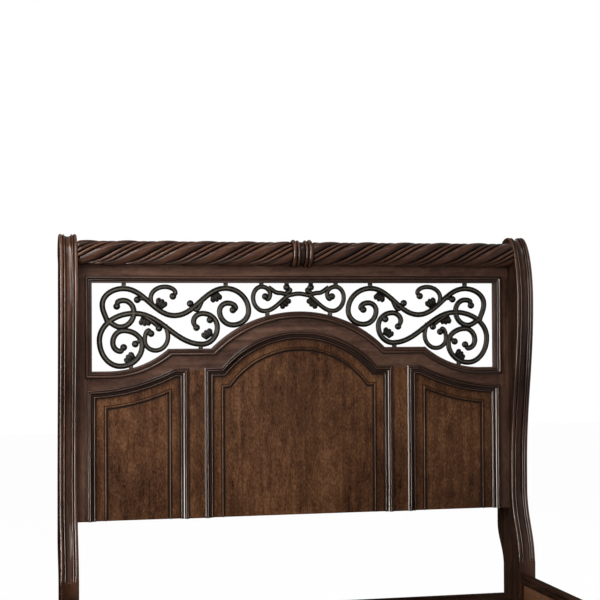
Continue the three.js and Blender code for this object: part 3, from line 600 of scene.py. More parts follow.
def arc(centre: Point, radius: float, start: float, end: float, steps: int) -> list[Point]:
    """Points on an arc, both ends included, with angles in radians."""
    turns = [start + (end - start) * index / steps for index in range(steps + 1)]
    return [(centre[0] + radius * math.cos(turn), centre[1] + radius * math.sin(turn))
            for turn in turns]


def rounding(steps: int) -> list[tuple[float, float]]:
    """(place from -1 to 1, swell from 0 to 1) over a half round, in even turns."""
    places = [-math.cos(math.pi * index / steps) for index in range(steps + 1)]
    return [(place, math.sqrt(max(0.0, 1 - place * place))) for place in places]


def smooth_step(value: float, low: float, high: float) -> float:
    """0 below low, 1 above high and a soft step between them."""
    share = min(max((value - low) / (high - low), 0.0), 1.0)
    return share * share * (3.0 - 2.0 * share)


# ---- posts
@dataclass(frozen=True)
class PostSection:
    """The moulded face of a post: reed, bead and cove, from the edge to the middle, in mm."""

    reed: float = 12.6
    reed_round: float = 5.2
    quirk: float = 1.3
    quirk_depth: float = 7.4
    bead: float = 6.6
    bead_drop: float = 0.9
    bead_fall: float = 5.0
    bead_gap: float = 0.6
    cove_start: float = 6.4
    cove_depth: float = 8.8

    STEPS = 10                  # on each round
    COVE_STEPS = 8              # from a bead to the middle
    DARK = 0.97                 # glaze and painted shade in the corners

    def stations(self, width: float) -> list[tuple[float, float, float]]:
        """(distance from the edge, depth, glaze and painted shade) across the whole width."""
        half = [(self.reed * (turn + 1) / 2, self.reed_round * (1 - swell),
                 self.DARK * max(turn, 0.0) ** 1.6) for turn, swell in rounding(self.STEPS)]
        half.append((self.reed + self.quirk / 2, self.quirk_depth, 1.0))
        bead = self.reed + self.quirk
        for turn, swell in rounding(self.STEPS):
            fall = self.bead_fall * (0.75 if turn < 0 else 1.0)
            half.append((bead + self.bead * (turn + 1) / 2, self.bead_drop + fall * (1 - swell),
                         self.DARK * abs(turn) ** 1.3))
        cove = bead + self.bead + self.bead_gap
        half.append((cove - self.bead_gap / 2, self.cove_start + 0.7, 0.9))
        for index in range(self.COVE_STEPS):
            share = index / self.COVE_STEPS
            sink = (self.cove_depth - self.cove_start) * math.sin(share * math.pi / 2)
            half.append((cove + (width / 2 - cove) * share, self.cove_start + sink,
                         self.DARK * max(0.0, 1 - share * 2) ** 0.8))
        centre = [(width / 2, self.cove_depth, 0.0)]
        return half + centre + [(width - at, depth, glaze_and_shade) for at, depth, glaze_and_shade in reversed(half)]


Profile = list[tuple[Point, Vector, float]]


@dataclass(frozen=True)
class SleighPost:
    """An S-curved post that curls over at the top. Depths in mm run from the frame's face."""

    name: str
    face: float
    towards: float
    foot: float
    foot_top: float
    reed_foot: float
    neck: float
    neck_low: float
    neck_high: float
    belly: float
    belly_drop: float
    crest: float
    height: float
    scroll_reach: float
    scroll_drop: float
    scroll_turn: float
    scroll_under: float
    back_top: float
    back: float
    back_drop: float
    back_low: float
    foot_back: float
    foot_back_top: float
    edge: float = 1.6

    FRONT, REAR = (22, 6.0), (14, 30.0)     # points on a curve, and longest straight step in mm
    SIDE_NORMAL = 0.9                       # a face that looks further sideways is a flat side
    REED_FADE = (-10.0, 6.0)                # from reed_foot, where the moulding starts and is full
    UNDER_FADE = 0.9                        # share of scroll_under over which it runs out

    def front(self) -> list[tuple]:
        """Turning points of the moulded face, from the floor to the tip of the scroll."""
        return [
            (self.foot, 0.0, "v"), (self.foot, self.foot_top, "v"), (self.neck, self.neck_low, "v"),
            (self.neck, self.neck_high, "v"), (self.belly, self.height - self.belly_drop, "v"),
            (self.crest, self.height, "h"),
            (self.scroll_reach, self.height - self.scroll_drop, "v"),
        ]

    def rear(self) -> list[tuple]:
        """Turning points from the tip of the scroll down the back to the floor."""
        tip = self.height - self.scroll_drop
        return [
            (self.scroll_reach, tip, "v"),
            (self.scroll_reach - self.scroll_turn, tip - self.scroll_under),
            (self.back_top, self.height - self.back_drop, "v"), (self.back, self.back_low, "v"),
            (self.foot_back, self.foot_back_top, "v"), (self.foot_back, 0.0, "v"),
        ]

    def profile(self) -> Profile:
        """The side view in mm: its points, their outward normals, and how far each is moulded."""
        front = turning_line(self.front(), *self.FRONT)
        line = front + turning_line(self.rear(), *self.REAR)[1:]
        tip = self.height - self.scroll_drop
        profile = []
        for index, point in enumerate(line):
            before, after = line[max(index - 1, 0)], line[min(index + 1, len(line) - 1)]
            way = Vector((after[0] - before[0], after[1] - before[1])).normalized()
            share = 0.0
            if index < len(front):
                share = smooth_step(point[1] - self.reed_foot, *self.REED_FADE)
            elif index < len(front) + self.REAR[0]:
                share = smooth_step(point[1], tip - self.scroll_under * self.UNDER_FADE, tip)
            profile.append((point, Vector((-way.y, way.x)), share))
        return profile

    def row(self, profile: Profile, left: float, depth: float, rim: float) -> list[Vector]:
        """One line round the post.

        Args:
            profile: The side view.
            left: Where the line lies across the bed, in metres.
            depth: How deep the moulding is there, in mm.
            rim: How far the post's nearer edge is, in mm.

        Returns:
            Its points in metres.
        """
        inset = self.edge * (1 - math.sqrt(max(0.0, 1 - (1 - min(rim / self.edge, 1.0)) ** 2)))
        places = []
        for point, normal, share in profile:
            sink = max(inset, depth * share)
            places.append(Vector((
                left, self.face + self.towards * mm(point[0] - normal.x * sink),
                mm(max(point[1] - normal.y * sink, 0.0)))))
        return places

    def build(self) -> None:
        """Builds the left and the right post."""
        profile = self.profile()
        for side in ("left", "right"):
            node = f"{self.name}_{side}"
            low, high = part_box(node)
            width = (high.x - low.x) / mm(1.0)
            stations = PostSection().stations(width)
            work = Workpiece(f"{node}_carved")
            rows = work.sweep((self.row(profile, low.x + mm(at), depth, min(at, width - at))
                               for at, depth, _ in stations), True)
            # Glaze and painted shade in the moulding's corners, only where it is moulded.
            for row, (_, _, glaze_and_shade) in zip(rows, stations):
                work.paint(row, [glaze_and_shade * share for _, _, share in profile])
            work.cap_rows(rows[0], rows[-1])
            work.map_grain()
            for face in work.bm.faces:
                face.normal_update()
                # The flat sides take the darker copy of the wood, as painted shade.
                face.material_index = 1 if abs(face.normal.x) > self.SIDE_NORMAL else 0
            post = work.finish(CARVED_WOOD, Grain.PATH, node)
            post.data.materials.append(SIDE_WOOD.material(Grain.UPRIGHT))


# ---- rolls
@dataclass(frozen=True)
class RopeRoll:
    """A roll carved as a rope: broad smooth strands with narrow beads between them, in mm."""

    end: str
    lead: float = 420.0
    strands: int = 3
    broad: float = 0.58
    beads: int = 2
    core: float = 32.0
    bulge: float = 12.5
    bead_bulge: float = 10.0
    turns: tuple[float, float] = (-0.358, -0.717)

    STEPS = 110                         # along half a roll
    BROAD_STEPS, BEAD_STEPS = 22, 8     # round a strand and round a bead
    EASED, SHRUNK = mm(6.0), 0.06       # how long and how far the ends are eased
    RUB_AND_HIGHLIGHT = 0.35                       # wear and painted highlight on what holds no glaze or painted shade

    def section(self) -> list[tuple[float, float, float]]:
        """(angle in radians, radius in mm, glaze and painted shade) round the roll."""
        width = (1.0 - self.broad) / self.beads
        spans = [(0.0, self.broad, self.bulge, self.BROAD_STEPS)]
        spans += [(self.broad + width * bead, width, self.bead_bulge, self.BEAD_STEPS)
                  for bead in range(self.beads)]
        points = []
        for strand in range(self.strands):
            for start, share, bulge, steps in spans:
                for index in range(steps):
                    turn = 2 * index / steps - 1
                    swell = math.sqrt(max(0.0, 1 - turn * turn))
                    angle = 2 * math.pi / self.strands * (strand + start + share * index / steps)
                    # Painted shade on each strand's lower flank; glaze and painted shade deepen
                    # into the grooves.
                    shaded = 0.7 * max(0.0, -turn) ** 1.4
                    dark = min(1.0, 0.10 + max(0.0, 1.3 - swell * 1.6) + shaded)
                    points.append((angle, self.core + bulge * swell ** 0.9, dark))
        return points

    def rows(self, low: Vector, high: Vector, turn: float) -> Iterator[list[Vector]]:
        """The twisted rows of half a roll, from left to right in its box, in metres."""
        centre = (low + high) / 2
        section = self.section()
        for index in range(self.STEPS + 1):
            x = low.x + (high.x - low.x) * index / self.STEPS
            twist = 2 * math.pi * (x / mm(self.lead)) + turn
            full = smooth_step(min(x - low.x, high.x - x), 0.0, self.EASED)
            size = mm(1.0 - self.SHRUNK * (1 - full))
            yield [Vector((x, centre.y + radius * size * math.cos(math.pi - angle - twist),
                           centre.z + radius * size * math.sin(math.pi - angle - twist)))
                   for angle, radius, _ in section]

    def build(self) -> None:
        """Builds both halves of the roll."""
        glaze_and_shade = [dark for _, _, dark in self.section()]
        for side, turn in zip(("left", "right"), self.turns):
            node = f"{self.end}_rope_roll_{side}"
            work = Workpiece(f"{node}_carved")
            rows = work.sweep(self.rows(*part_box(node), turn), True)
            for row in rows:
                work.paint(row, glaze_and_shade)
                # Wear and painted highlight where glaze and painted shade are light: crowns and
                # upper flanks.
                for vert, dark in zip(row, glaze_and_shade):
                    vert[work.rub_and_highlight] = max(0.0, self.RUB_AND_HIGHLIGHT - dark)
            work.cap_rows(rows[0], rows[-1])
            work.map_grain(turned=True)
            work.finish(CARVED_WOOD, Grain.PATH, node)


@dataclass(frozen=True)
class RollCollar:
    """The turned collar over the middle of a roll: five rings between two flat lips."""

    end: str

    # middle, half width, crown and foot of each ring, in shares of half the collar's width and
    # of its radius
    RINGS = ((-0.77, 0.22, 1.0, 0.78), (-0.38, 0.15, 0.96, 0.78), (-0.01, 0.19, 0.84, 0.80),
             (0.36, 0.15, 0.96, 0.78), (0.77, 0.22, 1.0, 0.78))
    # Each lip point: place, radius, glaze and painted shade.
    LIP = [(-1.0, 0.72, 1.0), (-1.0, 0.80, 0.8)]
    STEPS, TURNS = 10, 64

    def profile(self) -> list[tuple[float, float, float]]:
        """(place, radius, glaze and painted shade) from lip to lip, in shares."""
        points = list(self.LIP)
        for middle, reach, top, foot in self.RINGS:
            for turn, swell in rounding(self.STEPS):
                # Glaze and painted shade in the hollows between rings; the middle ring is dark all
                # over.
                dark = 0.75 if abs(middle) < 0.1 else min(1.0, 0.12 + max(0.0, 1.1 - swell * 1.5))
                points.append((middle + reach * turn, foot + (top - foot) * swell, dark))
        return points + [(-at, radius, dark) for at, radius, dark in reversed(self.LIP)]

    def build(self) -> None:
        """Builds the collar by spinning its profile."""
        node = f"{self.end}_roll_collar"
        low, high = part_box(node)
        half, radius = (high.x - low.x) / 2, (high.z - low.z) / 2
        centre = (low + high) / 2
        profile = self.profile()
        work = Workpiece(f"{node}_turned")
        row = work.start([centre + Vector((half * at, 0.0, radius * share))
                          for at, share, _ in profile], False)
        work.paint(row, [dark for _, _, dark in profile])
        bmesh.ops.spin(work.bm, geom=row + work.edges(row), cent=centre, axis=(1, 0, 0),
                       angle=2 * math.pi, steps=self.TURNS, use_merge=True)
        bmesh.ops.remove_doubles(work.bm, verts=work.bm.verts, dist=WELD)
        for end in (low.x, high.x):
            work.cap([edge for edge in work.bm.edges if edge.is_boundary
                      and all(abs(vert.co.x - end) < WELD * 10 for vert in edge.verts)])
        work.finish(CARVED_WOOD, Grain.UPRIGHT, node)


# ---- outlines
Outline = Callable[[float], list[Point]]
ARC_STEPS = 28


def crown(span: float, rise: float, springing: float, inset: float) -> list[Point]:
    """An arch from left to right.

    Args:
        span: Half its width, in mm.
        rise: How far it rises.
        springing: The height that it rises from.
        inset: How much smaller its radius is drawn, and how much lower it springs.

    Returns:
        Its points.
    """
    radius = (span ** 2 + rise ** 2) / (2 * rise)
    centre = springing + rise - radius
    level = springing - inset - centre
    turn = math.atan2(level, math.sqrt((radius - inset) ** 2 - level ** 2))
    return arc((0.0, centre), radius - inset, math.pi - turn, turn, 2 * ARC_STEPS)


@dataclass(frozen=True)
class OpeningOutline:
    """The scrollwork opening: square above, ogee shoulders and an arch below, in mm."""

    half: float = 739.0
    top: float = 1500.0
    low: float = 1191.0
    corner_run: float = 60.0
    sweep_run: float = 209.0
    shoulder_rise: float = 77.0
    arch_span: float = 317.0
    arch_rise: float = 130.5

    def grown(self, grow: float) -> list[Point]:
        """The closed outline, grown by that much on every side."""
        springing = self.low + self.shoulder_rise
        sweep = (self.sweep_run ** 2 + self.shoulder_rise ** 2) / (2 * self.shoulder_rise)
        start = self.half - self.corner_run
        centre = self.low + sweep
        level = springing - grow - centre
        turn = math.atan2(level, math.sqrt((sweep + grow) ** 2 - level ** 2))
        left = [(-self.half - grow, self.top + grow), (-self.half - grow, self.low - grow)]
        left += arc((-start, centre), sweep + grow, -math.pi / 2, turn, ARC_STEPS)
        return (left + crown(self.arch_span, self.arch_rise, springing, grow)
                + [(-x, z) for x, z in reversed(left)])


@dataclass(frozen=True)
class SidePanelOutline:
    """A side panel with a sweeping top, open at its foot, in mm."""

    side: int
    inner: float = 401.0
    outer: float = 757.0
    shoulder: float = 1200.0
    low: float = 1127.0
    sweep: float = 665.0
    foot: float = 671.0

    def shrunk(self, inset: float) -> list[Point]:
        """The outline from its inner foot to its outer foot, shrunk by that much."""
        inner, outer = self.inner + inset, self.outer - inset
        centre, radius = self.low + self.sweep, self.sweep + inset
        shoulder = self.shoulder - inset
        start_x = max(self.outer - math.sqrt(radius ** 2 - (centre - shoulder) ** 2), inner)
        start_z = centre - math.sqrt(radius ** 2 - (self.outer - start_x) ** 2)
        start = math.atan2(start_z - centre, start_x - self.outer)
        end = -math.acos((outer - self.outer) / radius)
        line = [(inner, self.foot), (inner, min(shoulder, start_z))]
        line += arc((self.outer, centre), radius, start, end, ARC_STEPS)
        return [(self.side * x, z) for x, z in line + [(outer, self.foot)]]


@dataclass(frozen=True)
class MidPanelOutline:
    """The arched middle panel with square shoulders, open at its foot, in mm."""

    half: float = 345.0
    shoulder: float = 1200.0
    span: float = 286.0
    rise: float = 130.5
    foot: float = 671.0

    def shrunk(self, inset: float) -> list[Point]:
        """The outline from its left foot to its right foot, shrunk by that much."""
        left = [(inset - self.half, self.foot), (inset - self.half, self.shoulder - inset)]
        return (left + crown(self.span, self.rise, self.shoulder, inset)
                + [(-x, z) for x, z in reversed(left)])


@dataclass(frozen=True)
class BoxPanelOutline:
    """A square footboard panel, closed all round, that fills the box of its moulding's node."""

    node: str

    def shrunk(self, inset: float) -> list[Point]:
        """The outline in mm, shrunk by that much."""
        low, high = (corner / mm(1.0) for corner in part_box(self.node))
        left, right = low.x + inset, high.x - inset
        bottom, top = low.z + inset, high.z - inset
        return [(left, bottom), (left, top), (right, top), (right, bottom)]


# ---- mouldings
Section = Sequence[tuple[float, float, float]]


def half_round(start: float, end: float, base: float, top: float, steps: int = 8,
               dark: float = 0.4) -> list[tuple[float, float, float]]:
    """A rounded bead of a moulding.

    Args:
        start: Where the bead starts across the moulding, in mm.
        end: Where it ends.
        base: Depth of its edges behind the frame's face, in mm.
        top: Depth of its crown, which is less than base.
        steps: How many steps to make.
        dark: Glaze and painted shade at its edges.

    Returns:
        (distance across, depth, glaze and painted shade) for each step.
    """
    return [(start + (end - start) * (turn + 1) / 2, base + (top - base) * swell,
             dark * (1 - swell) ** 2) for turn, swell in rounding(steps)]


# Each line of a section: distance across and depth behind the frame's face in mm, and glaze with
# painted shade, heaviest in the quirks and at the edges.
OPENING_SECTION: Section = (
    [(16.7, 30.0, 0.2), (0.0, 30.0, 0.2), (0.0, 0.5, 0.0), (0.8, -1.4, 0.0), (5.8, -2.2, 0.1),
     (6.6, -1.2, 1.0), (7.4, -3.6, 0.5)]
    + half_round(7.8, 12.6, -3.6, -6.2, 6)
    + [(13.3, -3.6, 1.0)]
    + half_round(14.2, 23.2, -4.5, -10.0, 10)
    + [(24.0, -3.4, 0.9), (25.0, -3.0, 0.5), (25.0, -0.3, 1.0), (16.7, -0.3, 0.2)])

PANEL_SECTION: Section = (
    [(8.3, -0.3, 0.2), (0.0, -0.3, 1.0), (0.0, -3.6, 0.8), (1.0, -4.4, 0.4)]
    + half_round(1.6, 6.6, -5.4, -9.0)
    + [(7.2, -5.8, 1.0)]
    + half_round(7.9, 12.2, -8.6, -12.0, dark=0.3)
    + [(12.8, -8.4, 0.4), (14.2, -5.4, 0.45), (16.4, -2.6, 0.5), (19.0, -0.8, 0.55),
       (22.0, 0.2, 0.7), (23.4, 2.0, 1.0)]
    + half_round(24.0, 28.8, -0.6, -4.2)
    + [(29.3, 2.2, 0.9), (30.0, 3.0, 0.9), (30.0, 7.7, 1.0), (8.3, 7.7, 0.2)])


@dataclass(frozen=True)
class Run:
    """A piece whose rows follow one outline at the distances and depths of a section.

    It stands for node, face is the frame's face in metres, and closed says whether the outline
    runs all the way round.
    """

    node: str
    outline: Outline
    face: float
    closed: bool

    SHARP = 30.0

    def lay(self, work: Workpiece, section: Section, step: float) -> list[Row]:
        """Lays a row for each line of the section, that step in mm apart on the grain's map."""
        rows = work.sweep(
            ([Vector((mm(x), self.face + mm(depth), mm(z))) for x, z in self.outline(across)]
             for across, depth, _ in section), self.closed, mm(step))
        # Each line of the section takes its glaze and painted shade.
        for row, (_, _, glaze_and_shade) in zip(rows, section):
            work.paint(row, [glaze_and_shade] * len(row))
        return rows


@dataclass(frozen=True)
class MouldingRun(Run):
    """A moulding planed to one section and mitred round an outline."""

    section: Section

    def build(self) -> None:
        """Builds the run."""
        work = Workpiece(f"{self.node}_planed")
        rows = self.lay(work, self.section, 2.0)
        work.map_grain()
        bmesh.ops.bridge_loops(work.bm, edges=work.edges(rows[-1]) + work.edges(rows[0]))
        bmesh.ops.remove_doubles(work.bm, verts=work.bm.verts, dist=WELD)
        if not self.closed:
            work.cap_open_ends()
        work.finish(MOULDING_WOOD, Grain.PATH, self.node, self.SHARP)


@dataclass(frozen=True)
class PanelBoard(Run):
    """A panel with a raised bead round its field. Its front and back lie behind the face, in mm."""

    back: float

    FRONT = 8.0
    BEAD = (62.5, 68.0, 73.0)   # where the bead starts and ends, and where its groove ends

    def section(self) -> Section:
        """(inset, depth, glaze and painted shade) from the back's edge to the field, darkest by the
        moulding and the bead.
        """
        front = self.FRONT
        start, end, groove = self.BEAD
        return ([(8.3, self.back, 0.0), (8.3, front, 0.6), (31.0, front, 1.0), (33.0, front, 0.5),
                 (36.0, front, 0.05), (start - 5, front, 0.0), (start - 2.4, front, 0.6),
                 (start - 0.6, front + 1.2, 1.0)]
                + half_round(start, end, front - 1.4, front - 6.0, dark=0.9)
                + [(end + 0.6, front + 1.4, 1.0), (groove, front + 1.8, 1.0),
                   (groove + 1.4, front + 1.4, 0.6), (groove + 4.0, front + 1.2, 0.1),
                   (groove + 14.0, front + 1.2, 0.0)])

    def build(self) -> None:
        """Builds the board, with upright grain."""
        work = Workpiece(f"{self.node}_board")
        rows = self.lay(work, self.section(), 1.0)
        work.cap_rows(rows[0], rows[-1])
        if not self.closed:
            work.cap_open_ends()
        work.finish(PANEL_WOOD, Grain.UPRIGHT, self.node, self.SHARP)


# ---- boards
@dataclass(frozen=True)
class Board:
    """A straight board, with edges eased by some mm, that stands for a node of the same size."""

    node: str
    finish: Finish
    grain: Grain
    ease: float = 1.6

    def build(self) -> None:
        """Builds the board from its node's box."""
        low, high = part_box(self.node)
        work = Workpiece(f"{self.node}_board")
        bmesh.ops.create_cube(work.bm, size=1.0)
        bmesh.ops.scale(work.bm, vec=high - low, verts=work.bm.verts)
        bmesh.ops.translate(work.bm, vec=(low + high) / 2, verts=work.bm.verts)
        bmesh.ops.bevel(work.bm, geom=work.bm.edges[:] + work.bm.verts[:], offset=mm(self.ease),
                        affect="EDGES", segments=3, profile=0.5, material=-1)
        work.finish(self.finish, self.grain, self.node)


@dataclass(frozen=True)
class RailCap:
    """The moulded cap along the top of a side rail."""

    node: str

    NOSE = 0.30                 # radius of its nose, in shares of its height
    LIP, SINK, ROUND, SHOULDER = mm(5.0), mm(4.0), mm(4.0), mm(7.0)

    def build(self) -> None:
        """Extrudes the cap's section along the rail."""
        low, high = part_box(self.node)
        width, height = high.x - low.x, high.z - low.z
        nose, turn = height * self.NOSE, math.pi / 3
        centre = nose + self.SINK
        top = height - self.ROUND
        section = [(self.LIP, 0.0), (width - self.LIP, 0.0)]
        section += arc((width - nose, centre), nose, -turn, turn, 8)
        section += arc((width - self.SHOULDER, top), self.ROUND, 0.0, math.pi / 2, 6)
        section += arc((self.SHOULDER, top), self.ROUND, math.pi / 2, math.pi, 6)
        section += arc((nose, centre), nose, math.pi - turn, math.pi + turn, 8)
        section = [(low.x + min(max(x, 0.0), width), low.z + min(max(z, 0.0), height))
                   for x, z in section]
        work = Workpiece(f"{self.node}_moulded")
        rows = work.sweep(([Vector((x, y, z)) for x, z in section] for y in (low.y, high.y)), True)
        work.cap_rows(*rows)
        work.finish(SIDE_WOOD, Grain.LENGTHWISE, self.node)


# ---- ironwork
class Ironwork:
    """Scrollwork of bent bars with ball ends, leaves and lugs, in one plane.

    Points are in thousandths of the opening's half width and of its height, measured from the
    middle of its foot, as a smith's template is. Other sizes are in mm.
    """

    BAR, THIN, BALL = 10.0, 8.5, 12.5           # radii
    LUG_WIDTH, LUG_DEPTH, LUG_EDGE = 15.0, 13.0, 1.2
    LEAF_SHEET, LEAF_ROOT, LEAF_LIFT, LEAF_RIDGE, LEAF_CURL = 3.4, 5.0, 2.4, 2.6, 1.2
    NOTCH, FALL, FLARE = 0.34, 0.16, 0.38       # of a leaf, as shares of its length and width

    def __init__(self, node: str, opening: OpeningOutline, sides: Sequence[int]) -> None:
        """Keeps the node, the opening, and on which sides of the middle its bars lie."""
        self.node = node
        self.opening = opening
        self.sides = sides
        low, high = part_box(node)
        self.plane = (low.y + high.y) / 2
        self.work = Workpiece(f"{node}_forged")

    def place(self, point: Sequence[float], side: int = 1) -> Vector:
        """A template point on that side, in metres, in the plane of the ironwork."""
        height = self.opening.top - self.opening.low
        return Vector((side * mm(point[0] / 1000 * self.opening.half), self.plane,
                       mm(self.opening.low + point[1] / 1000 * height)))

    def bar(self, points: Sequence[tuple], radius: float = THIN,
            taper: tuple[float, float] = (1.0, 1.0)) -> None:
        """Bends one bar.

        Args:
            points: Its turning points on the template.
            radius: Its radius.
            taper: Share of the radius at its start and its end.
        """
        placed = [(self.place(point).x, self.place(point).z, *point[2:]) for point in points]
        curves = stretches(placed)
        for side in self.sides:
            data = bpy.data.curves.new("bar", "CURVE")
            data.dimensions = "3D"
            data.resolution_u = 14
            data.bevel_depth = mm(radius)
            data.bevel_resolution = 4
            data.use_fill_caps = True
            knots = data.splines.new("BEZIER").bezier_points
            knots.add(len(placed) - 1)
            for index, (knot, here) in enumerate(zip(knots, placed)):
                before = curves[index - 1][2] if index else here
                after = curves[index][1] if index < len(curves) else here
                for name, spot in (("co", here), ("handle_left", before), ("handle_right", after)):
                    setattr(knot, name, (side * spot[0], self.plane, spot[1]))
                knot.handle_left_type = knot.handle_right_type = "FREE"
            knots[0].radius, knots[-1].radius = taper
            holder = bpy.data.objects.new("bar", data)
            bpy.context.scene.collection.objects.link(holder)
            mesh = bpy.data.meshes.new_from_object(
                holder.evaluated_get(bpy.context.evaluated_depsgraph_get()))
            self.work.bm.from_mesh(mesh)
            bpy.data.objects.remove(holder)
            bpy.data.curves.remove(data)
            bpy.data.meshes.remove(mesh)

    def ball(self, *points: Point) -> None:
        """Forges a ball at each template point."""
        for point in points:
            for side in self.sides:
                bmesh.ops.create_icosphere(self.work.bm, subdivisions=3, radius=mm(self.BALL),
                                           matrix=Matrix.Translation(self.place(point, side)))

    def lug(self, end: float, *points: Point) -> None:
        """Forges a lug from each template point to the height end."""
        for point in points:
            for side in self.sides:
                spot = self.place(point, side)
                low, high = sorted((spot.z, mm(end)))
                spot.z = (low + high) / 2
                size = Matrix.Diagonal((mm(self.LUG_WIDTH), mm(self.LUG_DEPTH), high - low, 1.0))
                made = bmesh.ops.create_cube(self.work.bm, size=1.0,
                                             matrix=Matrix.Translation(spot) @ size)["verts"]
                edges = {edge for vert in made for edge in vert.link_edges}
                bmesh.ops.bevel(self.work.bm, geom=list(edges), offset=mm(self.LUG_EDGE),
                                affect="EDGES", segments=2, profile=0.5, material=-1)

    def leaf(self, point: Point, angle: float, length: float = 27.0, width: float = 42.0) -> None:
        """Forges a fan of three veined lobes that grows out of a bar.

        Args:
            point: Its stalk on the template.
            angle: Where it points, in radians from +X towards +Z.
            length: From the bar's middle to the tip of the middle lobe.
            width: Across the lobes.
        """
        for side in self.sides:
            made = bmesh.ops.create_grid(self.work.bm, x_segments=16, y_segments=30,
                                         size=0.5)["verts"]
            for vert in made:
                along, across = vert.co.x + 0.5, vert.co.y * 2
                lobe = abs(math.sin(1.5 * math.pi * (across + 1.0)))
                reach = ((1 - self.NOTCH * (1 - math.sqrt(lobe)))
                         * (1 - self.FALL * across * across))
                ridge = (self.LEAF_RIDGE * lobe * math.sin(math.pi * min(along * 1.1, 1.0))
                         - self.LEAF_CURL * (along * 2 - 1) ** 2)
                # Painted shade in the valleys between the lobes and towards the stalk.
                vert[self.work.glaze_and_shade] = 1.0 - 0.75 * lobe ** 2 * along
                vert.co = Vector((mm((length + self.LEAF_ROOT) * along * reach - self.LEAF_ROOT),
                                  -mm(self.LEAF_LIFT + ridge),
                                  mm(across * width / 2 * (1 - self.FLARE * (1 - along)))))
            faces = {face for vert in made for face in vert.link_faces}
            back = bmesh.ops.solidify(self.work.bm, geom=list(faces),
                                      thickness=mm(self.LEAF_SHEET))["geom"]
            made += [item for item in back if isinstance(item, bmesh.types.BMVert)]
            turn = (Matrix.Translation(self.place(point, side))
                    @ Matrix.Diagonal((side, 1.0, 1.0, 1.0)) @ Matrix.Rotation(-angle, 4, "Y"))
            bmesh.ops.transform(self.work.bm, matrix=turn, verts=made)

    def finish(self) -> None:
        """Turns the ironwork into its finished piece."""
        self.work.finish(IRON, None, self.node, sharp=50.0)


class SideScroll(Ironwork):
    """A side panel of scrollwork: two long scrolls, curls, balls and leaves."""

    def build(self) -> None:
        """Forges the panel."""
        self.bar([(927, 566), (950, 754, "v"), (849, 936, "h"), (607, 627, "h"), (362, 940, "h"),
                  (248, 680, "v"), (325, 517, "h"), (390, 676, "v"), (350, 769, "h"),
                  (312, 712, "v"), (319, 676)], self.BAR, (1.0, 0.6))
        self.bar([(885, 740), (878, 775, "v"), (850, 801, "h"), (801, 667, "v"), (865, 500, "h"),
                  (925, 570)], self.BAR, (0.75, 1.0))
        self.bar([(503, 485), (516, 557, "v"), (472, 651, "h"), (401, 492, "v"), (476, 298, "h"),
                  (800, 655, "h"), (964, 350, "v"), (865, 56, "h"), (762, 291, "v"),
                  (850, 460, "h"), (901, 324, "v"), (865, 226, "h"), (850, 269)],
                 self.BAR, (0.75, 0.75))
        self.bar([(720, 424), (731, 460, "h"), (750, 346, "v"), (698, 231, "h"), (639, 388, "v"),
                  (653, 528)], taper=(0.8, 1.0))
        self.bar([(713, 748), (721, 828, "v"), (654, 956, "h"), (603, 887, "v"), (615, 848)],
                 taper=(1.0, 0.8))
        for stem in ([(785, 809), (758, 825, "h"), (691, 702)],
                     [(532, 764), (503, 692, "h"), (468, 832)],
                     [(682, 489), (707, 547), (762, 638)],
                     [(795, 307), (766, 359)], [(437, 576), (411, 605)]):
            self.bar(stem, taper=(0.7, 1.0))
        self.ball((325, 689), (882, 735), (850, 269), (502, 489), (720, 424), (615, 848),
                  (785, 809), (532, 764), (682, 485), (795, 307), (437, 576))
        for point, angle in (((809, 130), 0.67), ((440, 390), 0.96), ((415, 864), -1.94),
                             ((750, 595), -1.50), ((677, 736), 2.11)):
            self.leaf(point, angle)
        foot = self.opening.low
        shoulder = foot + self.opening.shoulder_rise
        self.lug(self.opening.top, (849, 936), (360, 940))
        self.lug(shoulder, (482, 300))
        self.lug(shoulder + 84.0, (286, 553))
        self.lug(foot + 9.0, (816, 81))
        self.finish()


class MidScroll(Ironwork):
    """The middle panel of scrollwork: one arched bar with a curl at each end."""

    def build(self) -> None:
        """Forges the panel."""
        self.bar([(166, 841), (155, 815, "h"), (142, 874, "v"), (184, 958, "h"), (226, 832, "v"),
                  (170, 676, "h"), (50, 858), (0, 877, "h")], taper=(0.8, 1.0))
        self.bar([(150, 950), (98, 886, "h"), (50, 860)])
        self.bar([(58, 945), (42, 918, "v"), (66, 880)], taper=(0.8, 0.9))
        self.ball((166, 845), (60, 951))
        self.leaf((78, 786), -2.27, 24.0, 46.0)
        self.lug(self.opening.top, (185, 958), (60, 955))
        self.lug(self.opening.low + 190.0, (156, 683))
        self.finish()


# ---- assemblies
def framed_panel(end: str, label: str, outline: Outline, face: float, closed: bool,
                 back: float) -> None:
    """Builds a panel of the headboard or the footboard, and the moulding round it.

    Args:
        end: The end of the bed that it belongs to.
        label: Its place there.
        outline: The outline of both at each inset.
        face: The frame's face in metres.
        closed: Whether the outline runs all the way round.
        back: Depth of the panel's back behind that face, in mm.
    """
    PanelBoard(f"{end}_panel_{label}", outline, face, closed, back).build()
    MouldingRun(f"{end}_panel_moulding_{label}", outline, face, closed, PANEL_SECTION).build()


